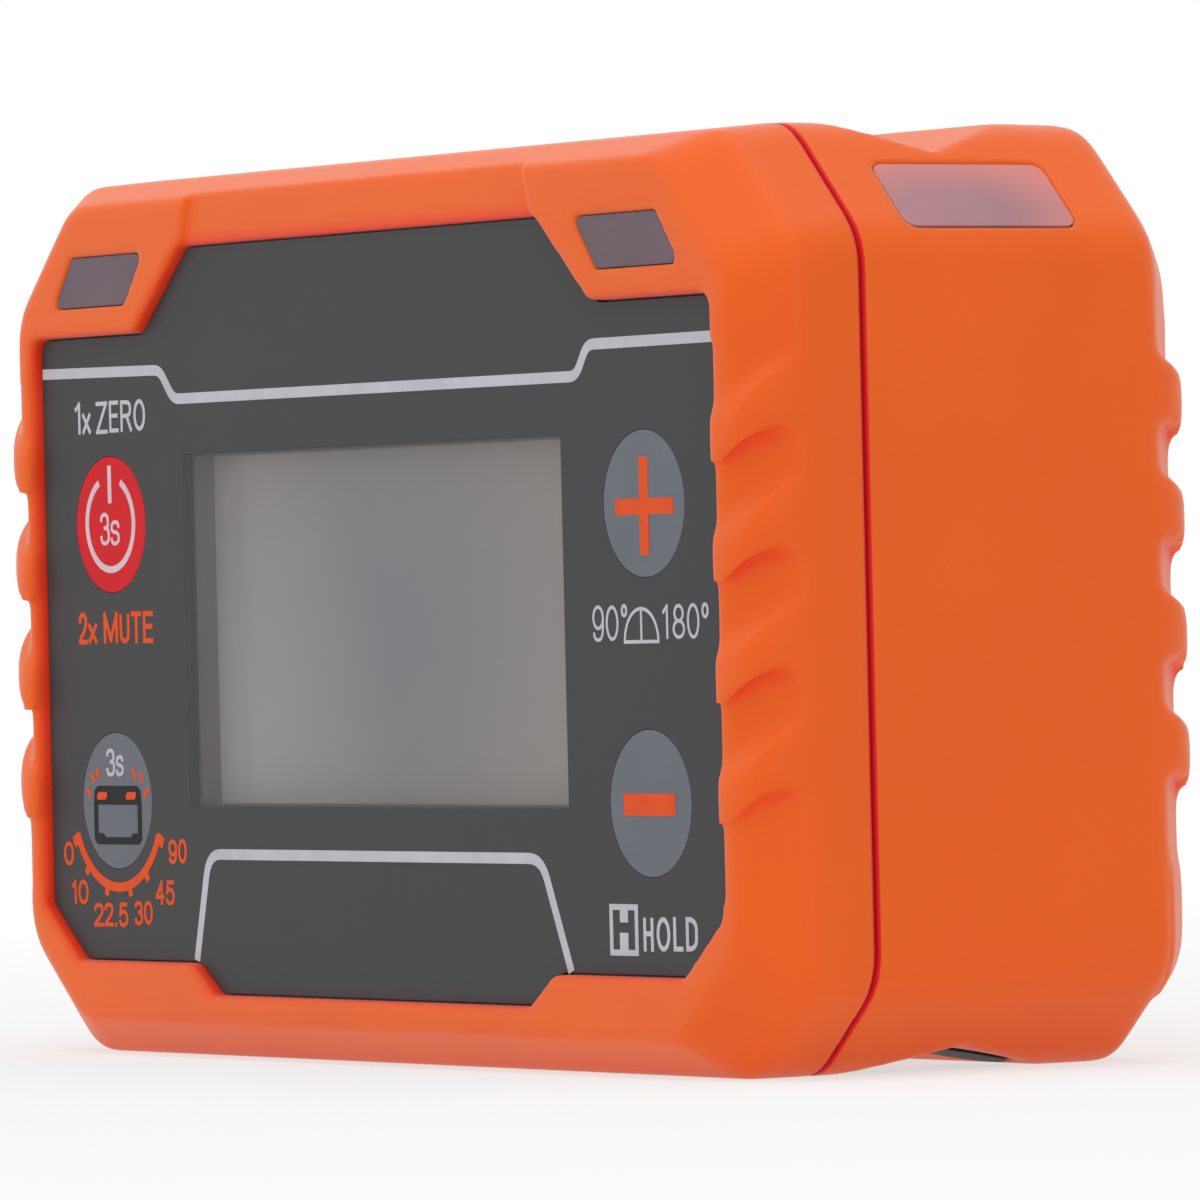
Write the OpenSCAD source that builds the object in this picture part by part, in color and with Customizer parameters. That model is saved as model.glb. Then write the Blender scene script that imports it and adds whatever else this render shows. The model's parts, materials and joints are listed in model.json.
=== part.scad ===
// Digital angle gauge: a magnetic tilt meter with a lit display, four keys and a V-groove in top and base.
// Millimetres, +Z up, origin at the middle of the base, display side facing -Y.

/* [Body] */
// Width, side wall to side wall
body_w = 90.2; // [84:0.2:98]
// Height, base land to top land
body_h = 57; // [54:0.2:64]
// Depth, front rim to rear face
body_d = 33; // [32:0.5:40]
// Shell wall thickness
wall = 2.3; // [1.8:0.1:2.8]
// Distance of the housing seam behind the front rim
seam_depth = 7.8; // [7.5:0.1:9]
// Open gap along the seam
seam_gap = 0.3; // [0.1:0.05:0.5]
// Fall of the top land from the seam to the front bevel
top_fall = 0.4; // [0:0.05:0.8]

/* [Corners] */
// Width of the chamfer at each upper corner
top_corner_x = 7.2; // [6.5:0.1:9]
// Height of the chamfer at each upper corner
top_corner_z = 7.2; // [6.5:0.1:9]
// Width of the chamfer at each lower corner
low_corner_x = 6.3; // [5:0.1:8]
// Height of the chamfer at each lower corner
low_corner_z = 5.6; // [5:0.1:7]
// Rounding radius of the outline corners
corner_r = 4.2; // [2:0.1:5]

/* [Bevels] */
// Depth of the front bevel
front_bevel = 3.3; // [2.6:0.1:4]
// Drop of the front bevel at the top
front_bevel_top = 1.5; // [0.8:0.1:2.5]
// Rise of the front bevel at the base
front_bevel_base = 2.4; // [1.5:0.1:3]
// Depth of the rear bevel
rear_bevel = 3.9; // [3:0.1:4.5]
// Run of the rear bevel at the sides
rear_bevel_side = 4.2; // [3:0.1:4.5]
// Drop of the rear bevel at the top
rear_bevel_top = 2; // [0.8:0.1:2.5]
// Rise of the rear bevel at the base
rear_bevel_base = 0.9; // [0.6:0.1:2]
// Rounding radius of the bevel edges
bevel_r = 1.2; // [0.8:0.1:2]

/* [Grip ribs] */
// Ribs on each vertical corner
rib_count = 4; // [3:1:4]
// Spacing of the ribs
rib_pitch = 7.1; // [6.5:0.1:7.5]
// Thickness of a rib at the side wall
rib_t = 3.9; // [3:0.1:4.5]
// Thickness of a front rib at its tip
rib_tip_t = 3.2; // [2:0.1:4]
// Drop of a front rib from side wall to tip
rib_drop = 3.3; // [2:0.1:6]
// Drop of a rear rib from side wall to tip
rear_rib_drop = 1.5; // [1:0.1:5]
// Top of the uppermost rib below the top land
rib_from_top = 14.4; // [12:0.1:17]
// Height of the front ribs above the front rim
rib_proud = 0.35; // [0.1:0.05:0.5]
// Depth of the sunk ground between the front ribs, at the front rim
rib_valley = 0.7; // [0.2:0.1:1]

/* [Grooves] */
// Width of the groove in the top
top_groove_w = 12.6; // [10:0.2:14]
// Depth of the groove in the top
top_groove_depth = 1.9; // [1.2:0.1:2.4]
// Width of the groove in the base
base_groove_w = 14.8; // [13:0.2:16]
// Depth of the groove in the base
base_groove_depth = 1.5; // [1.2:0.1:2]
// Offset of both grooves behind the mid plane
groove_y = 0.7; // [0:0.1:3]

/* [Base magnets] */
// Magnet diameter
magnet_d = 6; // [5:0.1:6.4]
// Magnet thickness
magnet_t = 2.5; // [2:0.1:3]
// Height of a magnet above its flank
magnet_proud = 0.12; // [0.05:0.01:0.15]
// Distance of the magnets from the side wall
magnet_inset = 10.2; // [9.2:0.1:12]

/* [Face] */
// Depth of the overlay below the front rim
face_recess = 0.86; // [0.5:0.02:1.2]
// Overlay thickness
face_t = 0.9; // [0.6:0.05:1.2]
// Housing wall behind the overlay
face_wall = 2; // [1.6:0.1:2.4]
// Fit of the overlay in its recess
face_fit = 0.12; // [0.05:0.01:0.2]
// Rim width beside the overlay, side wall to overlay
face_side = 5; // [4.7:0.05:6]
// Bezel height above the overlay
face_top = 5.05; // [4.2:0.05:6]
// Bezel height below the overlay
face_base = 4.2; // [3.8:0.1:5]
// Height of the light tabs below the top edge of the overlay
tab_h = 5.35; // [5.2:0.05:7]
// Width of a light tab along its lower edge
tab_w = 13.05; // [11:0.05:14]
// Run of the slanted edge of a light tab
tab_slant = 5.89; // [5:0.05:7]
// Height of the raised lower edge of the overlay
sill_h = 2; // [1:0.1:3]
// Width of the raised lower edge, at each side
sill_w = 18.63; // [14:0.01:20]
// Run of its slanted end
sill_slant = 2.8; // [2:0.1:4]
// Width of the overlay's lower corner chamfer
face_corner_x = 4.3; // [3:0.05:5]
// Height of the overlay's lower corner chamfer
face_corner_z = 3.53; // [3:0.05:5]
// Step of the bezel between the light tabs
bezel_step = 0.5; // [0.2:0.05:0.7]

/* [Display] */
// Border of the display frame round the window
lcd_border = 2.4; // [2:0.1:2.6]
// Drop of the window below mid height
window_drop = 1.07; // [0.5:0.01:1.5]
// Window height
window_h = 22.6; // [18:0.2:24]
// Depth of the display below the face
lcd_depth = 2.4; // [1.6:0.1:2.8]
// Display panel thickness
lcd_t = 1.8; // [1.4:0.1:2.2]

/* [Keys] */
// Key diameter
key_d = 8.9; // [7.5:0.1:9.4]
// Distance of the key columns from the side walls
key_inset = 13.46; // [12:0.02:14]
// Drop of the keys' middle below mid height
key_drop = 3.05; // [2.5:0.05:3.5]
// Spacing of the two keys in a column
key_pitch = 17.94; // [15:0.02:19]
// Play of a key in its opening
key_gap = 0.12; // [0.08:0.01:0.2]
// Key travel
key_travel = 0.6; // [0.3:0.05:0.8]

/* [Lights] */
// Width of a front light window
light_w = 9.1; // [7:0.1:10]
// Height of a front light window
light_h = 3.3; // [2.5:0.05:3.6]
// Lean of a front light window, over its height
light_lean = 2.5; // [1.5:0.1:3]
// Rounding radius of its corners
light_corner_r = 0.4; // [0.3:0.05:0.8]
// Length of a side light window
side_light_l = 12.5; // [9:0.1:14]
// Height of a side light window, along its chamfer
side_light_h = 5.5; // [4.5:0.1:5.6]
// Middle of a side light window, down its chamfer
side_light_drop = 6.4; // [5.6:0.1:6.6]

/* [Board] */
// Depth of the board behind the front rim
board_depth = 9.7; // [9.2:0.1:10.5]
// Board thickness
board_t = 1.6; // [1.2:0.1:2]
// Height of a key switch
switch_h = 3.4; // [3:0.1:3.6]
// Sounder diameter
sounder_d = 9; // [7:0.1:9.4]

/* [Battery bay] */
// Cell diameter
cell_d = 10.3; // [10:0.1:10.5]
// Cell length over the terminal
cell_l = 44.5; // [43.5:0.1:45]
// Length of a compressed contact spring
spring_l = 4; // [3:0.1:5]
// Wall of the bay
bay_wall = 1.6; // [1.2:0.1:2]
// Battery door thickness
door_t = 2.2; // [2:0.1:2.6]
// Play round the battery door
door_gap = 0.25; // [0.15:0.05:0.4]
// Diameter of the door hinge pins
hinge_pin_d = 1; // [0.8:0.1:1.2]

/* [Fasteners] */
// Screw shank diameter
screw_d = 2; // [1.6:0.1:2.4]
// Screw head diameter
screw_head_d = 4.8; // [4:0.1:5]
// Screw length under the head
screw_l = 15; // [13:0.5:16]
// Distance of the screws from the side walls
screw_inset = 9.1; // [8.4:0.1:9.5]
// Distance of the upper screws below the top land
screw_drop = 14; // [13:0.1:15]

/* [Hidden] */
$fn = 64;

half_w = body_w / 2;
front = (rib_proud - body_d) / 2;
rear = front + body_d;
rib_r = front_bevel + 0.7;
rib_sink = 0.05;
heel_w = 9;
heel_h = 8.2;
heel_z = 8;
heel_proud = 0.35;
heel_from_bevel = 0.7;
seam = front + seam_depth;
lip_inset = wall * 0.55;
lip_l = 1.4;
cavity_rear = rear - rear_bevel - 0.4;

face_y = front + face_recess;
seat_y = face_y + face_t;
wall_y = seat_y + face_wall;
face_hw = half_w - face_side;
face_zt = body_h - face_top;
tab_z = face_zt - tab_h;
tab_x = face_hw - tab_w;
notch_x = tab_x - tab_slant;
sill_x = face_hw - sill_w;

board_y = front + board_depth;
board_back = board_y + board_t;

key_x = half_w - key_inset;
key_mid = body_h / 2 - key_drop;
high_key = key_mid + key_pitch / 2;
low_key = key_mid - key_pitch / 2;
key_play = 0.1;
flange_r = key_d / 2 + 0.75;
flange_t = 0.8;
pocket_r = flange_r + 0.3;
pocket_y = seat_y + key_play + flange_t + key_travel + 0.25;
stem_r = 1.9;
plunger_r = 1.6;
switch_w = 6;
switch_y = board_y - switch_h;
plunger_y = switch_y - 1;
plunger_end = switch_y + 1.6;
guide_y = switch_y - 0.7;

window_w = 2 * (key_x - pocket_r - 1.17 - lcd_border);
window_z = body_h / 2 - window_drop;
lcd_y = face_y + lcd_depth;
lcd_back = lcd_y + lcd_t;
frame_w = window_w + 2 * lcd_border;
frame_h = window_h + 2 * lcd_border;
lcd_w = frame_w - 2.2;
lcd_h = frame_h - 2.2;
lcd_lip = 0.15;
strip_h = 2.4;
strip_z = window_z - lcd_h / 2 + 0.3 + strip_h / 2;

light_z = (tab_z + body_h - front_bevel_top) / 2 - 0.85;
light_x = (tab_x + half_w - front_bevel) / 2 - 3.05;
lamp_t = 1.2;
lamp_w = 3.2;
lamp_h = 1.8;
guide_w = 5;
guide_h = 2.2;
light_lip = 0.8;
light_lip_t = 1;
light_fit = 0.04;

groove_floor = base_groove_depth + magnet_t + 1.2;
groove_ceiling = top_groove_depth + wall;
flank = atan(2 * base_groove_depth / base_groove_w);
magnet_x = half_w - magnet_inset;
magnet_on_flank = 0.47;

side_light_lip = 0.3;
side_light_y = board_back + 0.1 + side_light_lip + side_light_l / 2;
corner_tilt = atan2(top_corner_z, top_corner_x);

screw_r = screw_d / 2;
head_r = screw_head_d / 2;
bore_r = head_r + 0.25;
tube_r = bore_r + 1;
screw_x = half_w - screw_inset;
low_screw = groove_floor + tube_r + 0.3;
high_screw = body_h - screw_drop;
screw_grip = 4;
screw_head_t = 1.8;
cross_w = 0.7;
cross_l = 3;
screw_seat = board_y - screw_grip + screw_l;

door_y = rear - door_t;
cell_gap = 0.15;
cell_y = door_y - 0.4 - cell_d / 2;
bay_y = cell_y - cell_d / 2 - cell_gap;
contact_t = 0.4;
bay_hl = (cell_l + spring_l) / 2 + contact_t;
bay_hh = cell_d + 0.6;
bay_z = body_h / 2;
cell_dz = cell_d / 2 + cell_gap;
door_hw = bay_hl + 3;
door_hh = bay_hh + 2.6;
hinge_r = door_t / 2;
hinge_y = rear - hinge_r;
hinge_z = bay_z + door_hh - hinge_r;
contact_w = 8;
tail_w = 2.5;
wire_r = 0.36;
coil_r = 3.4;
coil_end_r = 2.4;
grip_w = 12;
grip_pitch = 1.8;
notch_w = 14;
notch_r = 4;
pin_l = 1.2;

chip_w = 10;
chip_t = 1.4;
chip_x = -8;
sensor_w = 4;
sensor_t = 1.1;
sensor_x = 8;
sounder_h = 4.5;
sounder_port_r = 1;
sounder_z = (bay_z + bay_hh + bay_wall + body_h - groove_ceiling) / 2;

// Eight-sided body outline in width and height, for an inset at side, base and top.
function outline(side, base, top) = let (w = half_w - side, t = body_h - top) [
    [w, base + low_corner_z], [w, t - top_corner_z], [w - top_corner_x, t], [top_corner_x - w, t],
    [-w, t - top_corner_z], [-w, base + low_corner_z], [low_corner_x - w, base], [w - low_corner_x, base]];

// Outline of the face overlay, with its two light tabs and the stepped lower edge.
face_half = [
    [sill_x - sill_slant, face_base], [sill_x, face_base + sill_h],
    [face_hw - face_corner_x, face_base + sill_h], [face_hw, face_base + sill_h + face_corner_z],
    [face_hw, tab_z], [tab_x, tab_z], [notch_x, face_zt]];
face_outline = concat(face_half, [for (i = [6:-1:0]) [-face_half[i][0], face_half[i][1]]]);

// Front light window on the right-hand tab.
light_outline = [
    [light_x - (light_w - light_lean) / 2, light_z - light_h / 2],
    [light_x + (light_w + light_lean) / 2, light_z - light_h / 2],
    [light_x + (light_w - light_lean) / 2, light_z + light_h / 2],
    [light_x - (light_w + light_lean) / 2, light_z + light_h / 2]];

function rectangle(w, h) = [[w, -h] / 2, [w, h] / 2, [-w, h] / 2, [-w, -h] / 2];

// Outline moved outward by g, or inward where g is negative.
function grow(pts, g) = let (k = len(pts)) [for (i = [0:k - 1])
    let (d = pts[i] - pts[(i + k - 1) % k], e = pts[(i + 1) % k] - pts[i],
        m = [d[1], -d[0]] / norm(d), n = [e[1], -e[0]] / norm(e))
    pts[i] + g * (m + n) / (1 + m * n)];

// Arc that rounds the corner b between its neighbours a and c.
function corner_arc(a, b, c, r, n) =
    let (u = (a - b) / norm(a - b), v = (c - b) / norm(c - b), half = acos(u * v) / 2,
        m = b + (u + v) / norm(u + v) * r / sin(half),
        p = b + u * r / tan(half) - m, q = b + v * r / tan(half) - m,
        a0 = atan2(p[1], p[0]), turn = (atan2(q[1], q[0]) - a0 + 540) % 360 - 180)
    [for (i = [0:n]) m + r * [cos(a0 + turn * i / n), sin(a0 + turn * i / n)]];

function rounded(pts, r, n = 4) = let (k = len(pts))
    [for (i = [0:k - 1]) each corner_arc(pts[(i + k - 1) % k], pts[i], pts[(i + 1) % k], r, n)];

// Rounded 45 degree bevel: inset and depth of each ring, from the outer face to the full outline.
function bevel_profile(b) = let (c = bevel_r * tan(22.5), s = c * sin(45))
    [[b + c, 0], [b + 0.032 * bevel_r, 0.076 * bevel_r], [b - s, s],
    [s, b - s], [0.076 * bevel_r, b + 0.032 * bevel_r], [0, b + c]];

// Ring of the body at depth y: inset i of a bevel of depth b that runs bs at the sides, bt at the top and
// bb at the base, with its top lowered by fall.
function body_ring(y, i, b, bs, bt, bb, fall, swell) =
    [for (p = rounded(grow(outline(i * bs / b, i * bb / b, i * bt / b + fall), swell), corner_r))
        [p[0], y, p[1]]];

function body_rings(swell) = concat(
    [for (p = bevel_profile(front_bevel))
        body_ring(front + p[1], p[0], front_bevel, front_bevel, front_bevel_top, front_bevel_base,
            top_fall, swell)],
    [body_ring(seam, 0, 1, 0, 0, 0, 0, swell)],
    [for (k = [5:-1:0]) let (p = bevel_profile(rear_bevel)[k])
        body_ring(rear - p[1], p[0], rear_bevel, rear_bevel_side, rear_bevel_top, rear_bevel_base,
            0, swell)]);

// Edge of a grip rib in depth and height, curving down by d with power p over the span s from the side wall.
function rib_edge(y, s, z, d, p) = [for (k = [-2:9]) let (u = k / 8) [y + s * u, z - d * pow(max(u, 0), p)]];

function band(high, low) = concat(high, [for (k = [len(low) - 1:-1:0]) low[k]]);

function rib_band(y, s, z, d, tip) =
    band(rib_edge(y, s, z, d, 2), rib_edge(y, s, z - rib_t, d - rib_t + tip, 4));

// Round wire wound along X, its coil radius going from r0 to r1.
function coil(x0, x1, r0, r1, wire, turns) = [for (k = [0:turns * 15])
    let (f = k / (turns * 15), a = k * 24, r = r0 + (r1 - r0) * f, x = x0 + (x1 - x0) * f)
    [for (j = [0:5]) let (q = r + wire * cos(60 * j)) [x + wire * sin(60 * j), q * cos(a), q * sin(a)]]];

module skin(rings) {
    n = len(rings[0]);
    m = len(rings);
    sides = [for (k = [0:m - 2], i = [0:n - 1]) let (a = k * n + i, b = k * n + (i + 1) % n)
        each [[a, b, b + n], [a, b + n, a + n]]];
    caps = [[for (i = [n - 1:-1:0]) i], [for (i = [0:n - 1]) (m - 1) * n + i]];
    polyhedron(points = [for (r = rings) each r], faces = concat(sides, caps));
}

module pair() {
    children();
    mirror([1, 0, 0]) children();
}

// Flat shape in width and height, from depth y0 to y1.
module slab(y0, y1) translate([0, y1, 0]) rotate([90, 0, 0]) linear_extrude(y1 - y0) children();

// Flat shape in depth and height, along X from x0 to x1.
module bar(x0, x1) translate([x0, 0, 0]) rotate([90, 0, 90]) linear_extrude(x1 - x0) children();

// Round post along Y at x, z.
module post(x, z, y0, y1, r) translate([x, y1, z]) rotate([90, 0, 0]) cylinder(r = r, h = y1 - y0);

// Block centred on x and z, from depth y0 to y1.
module block(x, z, w, h, y0, y1) translate([x - w / 2, y0, z - h / 2]) cube([w, y1 - y0, h]);

module at_keys() for (x = [-key_x, key_x], z = [low_key, high_key]) translate([x, 0, z]) children();

module at_screws() for (x = [-screw_x, screw_x], z = [low_screw, high_screw])
    translate([x, 0, z]) children();

module at_magnets() pair() for (s = [-1, 1])
    translate([magnet_x, groove_y + s * magnet_on_flank * base_groove_w / 2,
        base_groove_depth * (1 - magnet_on_flank)]) rotate([-s * flank, 0, 0]) children();

// Frame on the right upper corner chamfer: x down the chamfer, z out of it.
module on_corner() translate([half_w - top_corner_x, side_light_y, body_h]) rotate([0, corner_tilt, 0])
    translate([side_light_drop, 0, 0]) children();

module ribs(y, s, cx, cy, r, d, tip) intersection() {
    pair() translate([cx, cy, 0]) cylinder(r = r, h = body_h);
    bar(-body_w, body_w) for (k = [0:rib_count - 1])
        polygon(rib_band(y, s, body_h - rib_from_top - k * rib_pitch, d, tip));
}

// Sunk ground between the front ribs, from the middle of the first to the middle of the last.
module valleys() intersection() {
    z = body_h - rib_from_top - rib_t / 2;
    y = front + front_bevel;
    s = -front_bevel - rib_proud;
    pair() linear_extrude(body_h) polygon([[half_w + 1, y], [half_w, y],
        [half_w - (front_bevel + rib_valley) * (front_bevel + 1) / front_bevel, front - 1],
        [half_w + 1, front - 1]]);
    bar(-body_w, body_w) polygon(band(rib_edge(y, s, z, rib_drop, 2),
        rib_edge(y, s, z - (rib_count - 1) * rib_pitch, rib_drop, 2)));
}

module inside_2d(play) intersection() {
    polygon(grow(outline(0, 0, 0), -wall - play));
    translate([-half_w, groove_floor + play])
        square([body_w, body_h - groove_floor - groove_ceiling - 2 * play]);
}

module groove(w, h, z, s) bar(-body_w, body_w)
    polygon([[groove_y - w / 2, z], [groove_y, z + s * h], [groove_y + w / 2, z],
        [groove_y + w / 2, z - s], [groove_y - w / 2, z - s]]);

module front_housing() color("#e8652b") difference() {
    union() {
        difference() {
            union() {
                difference() {
                    intersection() {
                        skin(body_rings(0));
                        block(0, body_h / 2, 2 * body_w, 2 * body_h, front - 1, seam - seam_gap / 2);
                    }
                    valleys();
                }
                ribs(front + front_bevel, -front_bevel - rib_proud, half_w - rib_r - rib_sink,
                    front + rib_r - rib_proud, rib_r, rib_drop, rib_tip_t);
            }
            slab(wall_y, seam) polygon(grow(outline(0, 0, 0), -wall));
            slab(seam - seam_gap / 2 - lip_l - 0.2, seam) polygon(grow(outline(0, 0, 0), 0.1 - lip_inset));
        }
        at_keys() post(0, 0, wall_y - 0.1, guide_y, pocket_r + 0.1);
        at_screws() post(0, 0, wall_y - 0.1, board_y, screw_r + 1.8);
    }
    slab(front - 1, seat_y) polygon(rounded(grow(face_outline, face_fit), 0.9, 3));
    slab(front - 1, front + bezel_step) polygon([[0.3 - notch_x, face_zt], [notch_x - 0.3, face_zt],
        [notch_x - 2.2, body_h + 1], [2.2 - notch_x, body_h + 1]]);
    block(0, window_z, frame_w + 0.3, frame_h + 0.3, front, seam);
    at_keys() post(0, 0, front, pocket_y, pocket_r);
    at_keys() post(0, 0, front, seam, stem_r + 0.2);
    pair() slab(front - 1, seam) polygon(rounded(light_outline, light_corner_r));
    at_screws() post(0, 0, board_y - screw_grip - 1, board_y + 1, screw_r + 0.05);
}

module rear_housing() color("#e8652b") difference() {
    union() {
        difference() {
            union() {
                intersection() {
                    skin(body_rings(0));
                    block(0, body_h / 2, 2 * body_w, 2 * body_h, seam + seam_gap / 2, rear + 1);
                }
                ribs(rear - rear_bevel, rear_bevel, half_w - rear_bevel - rib_sink,
                    rear - rear_bevel - rib_sink, rear_bevel, rear_rib_drop, rib_t);
                intersection() {
                    skin(body_rings(heel_proud));
                    pair() block(half_w - heel_w / 2, heel_z, heel_w + 1, heel_h,
                        rear - rear_bevel + heel_from_bevel, rear);
                }
            }
            slab(seam, cavity_rear) inside_2d(0);
        }
        difference() {
            slab(seam + seam_gap / 2 - lip_l, seam + seam_gap / 2 + 0.5)
                polygon(grow(outline(0, 0, 0), -lip_inset));
            slab(seam - 2 * lip_l, seam + 2) polygon(grow(outline(0, 0, 0), -wall));
        }
        block(0, bay_z, 2 * (bay_hl + bay_wall), 2 * (bay_hh + bay_wall),
            bay_y - bay_wall, cavity_rear + 0.5);
        at_screws() post(0, 0, board_back, cavity_rear + 0.5, tube_r);
    }
    groove(base_groove_w, base_groove_depth, 0, 1);
    groove(top_groove_w, top_groove_depth, body_h, -1);
    at_magnets() translate([0, 0, -2]) cylinder(r = magnet_d / 2 + 0.05, h = magnet_t - magnet_proud + 2);
    pair() on_corner() translate([0, 0, -wall - 1]) linear_extrude(wall + 3)
        polygon(rounded(rectangle(side_light_h, side_light_l), 0.8));
    block(0, bay_z, 2 * bay_hl, 2 * bay_hh, bay_y, rear + 1);
    block(0, bay_z, 2 * (door_hw + door_gap), 2 * (door_hh + door_gap), door_y, rear + 1);
    translate([-door_hw - pin_l - 0.3, hinge_y, hinge_z]) rotate([0, 90, 0])
        cylinder(r = hinge_pin_d / 2 + 0.1, h = 2 * (door_hw + pin_l + 0.3));
    translate([-notch_w / 2, rear + 0.6 * notch_r, bay_z - door_hh - 0.15 * notch_r]) rotate([0, 90, 0])
        cylinder(r = notch_r, h = notch_w);
    for (s = [-1, 1]) block(bay_hl - contact_t / 2, bay_z + s * cell_dz, contact_t + 0.1, tail_w + 0.2,
        bay_y - bay_wall - 1, bay_y + 1);
    at_screws() post(0, 0, seam, rear, screw_r + 0.2);
    at_screws() post(0, 0, screw_seat, rear + 1, bore_r);
}

module face_overlay() color("#4a4b4e") difference() {
    slab(face_y, seat_y) polygon(rounded(face_outline, 0.9, 3));
    block(0, window_z, window_w, window_h, front, seam);
    at_keys() post(0, 0, front, seam, key_d / 2);
}

module display_window() color("#c9ced2", 0.4) block(0, window_z, window_w, window_h, face_y, seat_y);

module lcd_frame() color("#55575a") difference() {
    block(0, window_z, frame_w, frame_h, seat_y, board_y);
    block(0, window_z, window_w - 2 * lcd_lip, window_h - 2 * lcd_lip, front, seam);
    block(0, window_z, lcd_w, lcd_h, lcd_y, board_y + 1);
}

module lcd_panel() color("#8b8983") block(0, window_z, lcd_w, lcd_h, lcd_y, lcd_back);

module backlight_panel() color("#f2f2ec")
    block(0, window_z + (strip_h + 0.6) / 2, lcd_w, lcd_h - strip_h - 0.6, lcd_back, board_y);

module lcd_connector() color("#d98a9a") block(0, strip_z, lcd_w - 3, strip_h, lcd_back, board_y);

module key_cap(x, z, tint) color(tint) translate([x, 0, z]) {
    post(0, 0, face_y, seat_y + key_play + 0.1, key_d / 2 - key_gap);
    post(0, 0, seat_y + key_play, seat_y + key_play + flange_t, flange_r);
    post(0, 0, seat_y + key_play, plunger_y, stem_r);
}

module power_button() key_cap(-key_x, high_key, "#d43038");

module program_button() key_cap(-key_x, low_key, "#6e747e");

module plus_button() key_cap(key_x, high_key, "#6e747e");

module minus_button() key_cap(key_x, low_key, "#6e747e");

module plunger(x, z) color("#1c1c1e") post(x, z, plunger_y, plunger_end, plunger_r);

module power_plunger() plunger(-key_x, high_key);

module program_plunger() plunger(-key_x, low_key);

module plus_plunger() plunger(key_x, high_key);

module minus_plunger() plunger(key_x, low_key);

module key_switches() color("#2a2a2c") at_keys() difference() {
    block(0, 0, switch_w, switch_w, switch_y, board_y);
    post(0, 0, switch_y - 1, plunger_end + key_travel + 0.25, plunger_r + 0.15);
}

module front_light() color("#8a7a86") {
    slab(front + 0.15, wall_y) polygon(rounded(grow(light_outline, -light_fit), light_corner_r));
    slab(wall_y, wall_y + light_lip_t) polygon(grow(light_outline, light_lip));
    block(light_x, light_z, guide_w, guide_h, wall_y + light_lip_t, board_y - lamp_t - 0.2);
}

module front_left_light() mirror([1, 0, 0]) front_light();

module front_right_light() front_light();

module side_light() color("#b9a0a8") on_corner() {
    translate([0, 0, -wall]) linear_extrude(wall - 0.1)
        polygon(rounded(grow(rectangle(side_light_h, side_light_l), -light_fit), 0.8));
    translate([0, 0, -wall - 1.2]) linear_extrude(1.2)
        polygon(rectangle(side_light_h, side_light_l + 2 * side_light_lip));
}

module side_left_light() mirror([1, 0, 0]) side_light();

module side_right_light() side_light();

module front_lamps() color("#f4efc8")
    pair() block(light_x, light_z, lamp_w, lamp_h, board_y - lamp_t, board_y);

module side_lamps() color("#f4efc8")
    pair() block(screw_x - lamp_h / 2, high_screw + tube_r + 0.75 * lamp_w, lamp_h, lamp_w,
        board_back, board_back + lamp_t);

module circuit_board() color("#2f6b45") difference() {
    slab(board_y, board_back) inside_2d(0.6);
    at_screws() post(0, 0, front, rear, screw_r + 0.2);
}

module controller_chip() color("#232326")
    block(chip_x, bay_z, chip_w, chip_w, board_back, board_back + chip_t);

module tilt_sensor() color("#303034")
    block(sensor_x, bay_z, sensor_w, sensor_w, board_back, board_back + sensor_t);

module sounder() color("#1e1e20") difference() {
    post(0, sounder_z, board_back, board_back + sounder_h, sounder_d / 2);
    post(0, sounder_z, board_back + sounder_h - sounder_port_r, board_back + 2 * sounder_h, sounder_port_r);
}

module base_magnets() color("#161618") at_magnets() translate([0, 0, -magnet_proud])
    cylinder(r = magnet_d / 2, h = magnet_t);

module battery_door() color("#e8652b") difference() {
    union() {
        block(0, (bay_z - door_hh + hinge_z) / 2, 2 * door_hw, door_hh + hinge_z - bay_z, door_y, rear);
        translate([-door_hw, hinge_y, hinge_z]) rotate([0, 90, 0])
            cylinder(r = hinge_r - 0.08, h = 2 * door_hw);
        translate([-door_hw - pin_l, hinge_y, hinge_z]) rotate([0, 90, 0])
            cylinder(r = hinge_pin_d / 2, h = 2 * (door_hw + pin_l));
    }
    for (k = [0:2]) block(0, bay_z - door_hh + (1.7 + k) * grip_pitch, grip_w, 0.45 * grip_pitch,
        rear - 0.25 * door_t, rear + 1);
}

module cell() rotate([0, 90, 0]) {
    cylinder(r = cell_d / 2, h = cell_l - 1);
    translate([0, 0, cell_l - 1.1]) cylinder(r = 1.9, h = 1.1);
}

module battery_cells() color("#3a3d42") {
    translate([bay_hl - contact_t - cell_l, cell_y, bay_z - cell_dz]) cell();
    mirror([1, 0, 0]) translate([bay_hl - contact_t - cell_l, cell_y, bay_z + cell_dz]) cell();
}

module bridge_contact() color("#c9ccd0")
    block(contact_t / 2 - bay_hl, bay_z, contact_t, 2 * cell_dz + contact_w,
        cell_y - contact_w / 2, cell_y + contact_w / 2);

module end_contacts() color("#c9ccd0") for (s = [-1, 1]) {
    block(bay_hl - contact_t / 2, bay_z + s * cell_dz, contact_t, contact_w,
        cell_y - contact_w / 2, cell_y + contact_w / 2);
    block(bay_hl - contact_t / 2, bay_z + s * cell_dz, contact_t, tail_w, board_back, cell_y);
}

module contact_spring() translate([0, cell_y, bay_z])
    skin(coil(bay_hl - contact_t - spring_l + wire_r + 0.04, bay_hl - contact_t - wire_r - 0.04,
        coil_end_r, coil_r, wire_r, 3));

module contact_springs() color("#c9ccd0") {
    translate([0, 0, cell_dz]) contact_spring();
    mirror([1, 0, 0]) translate([0, 0, -cell_dz]) contact_spring();
}

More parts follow.
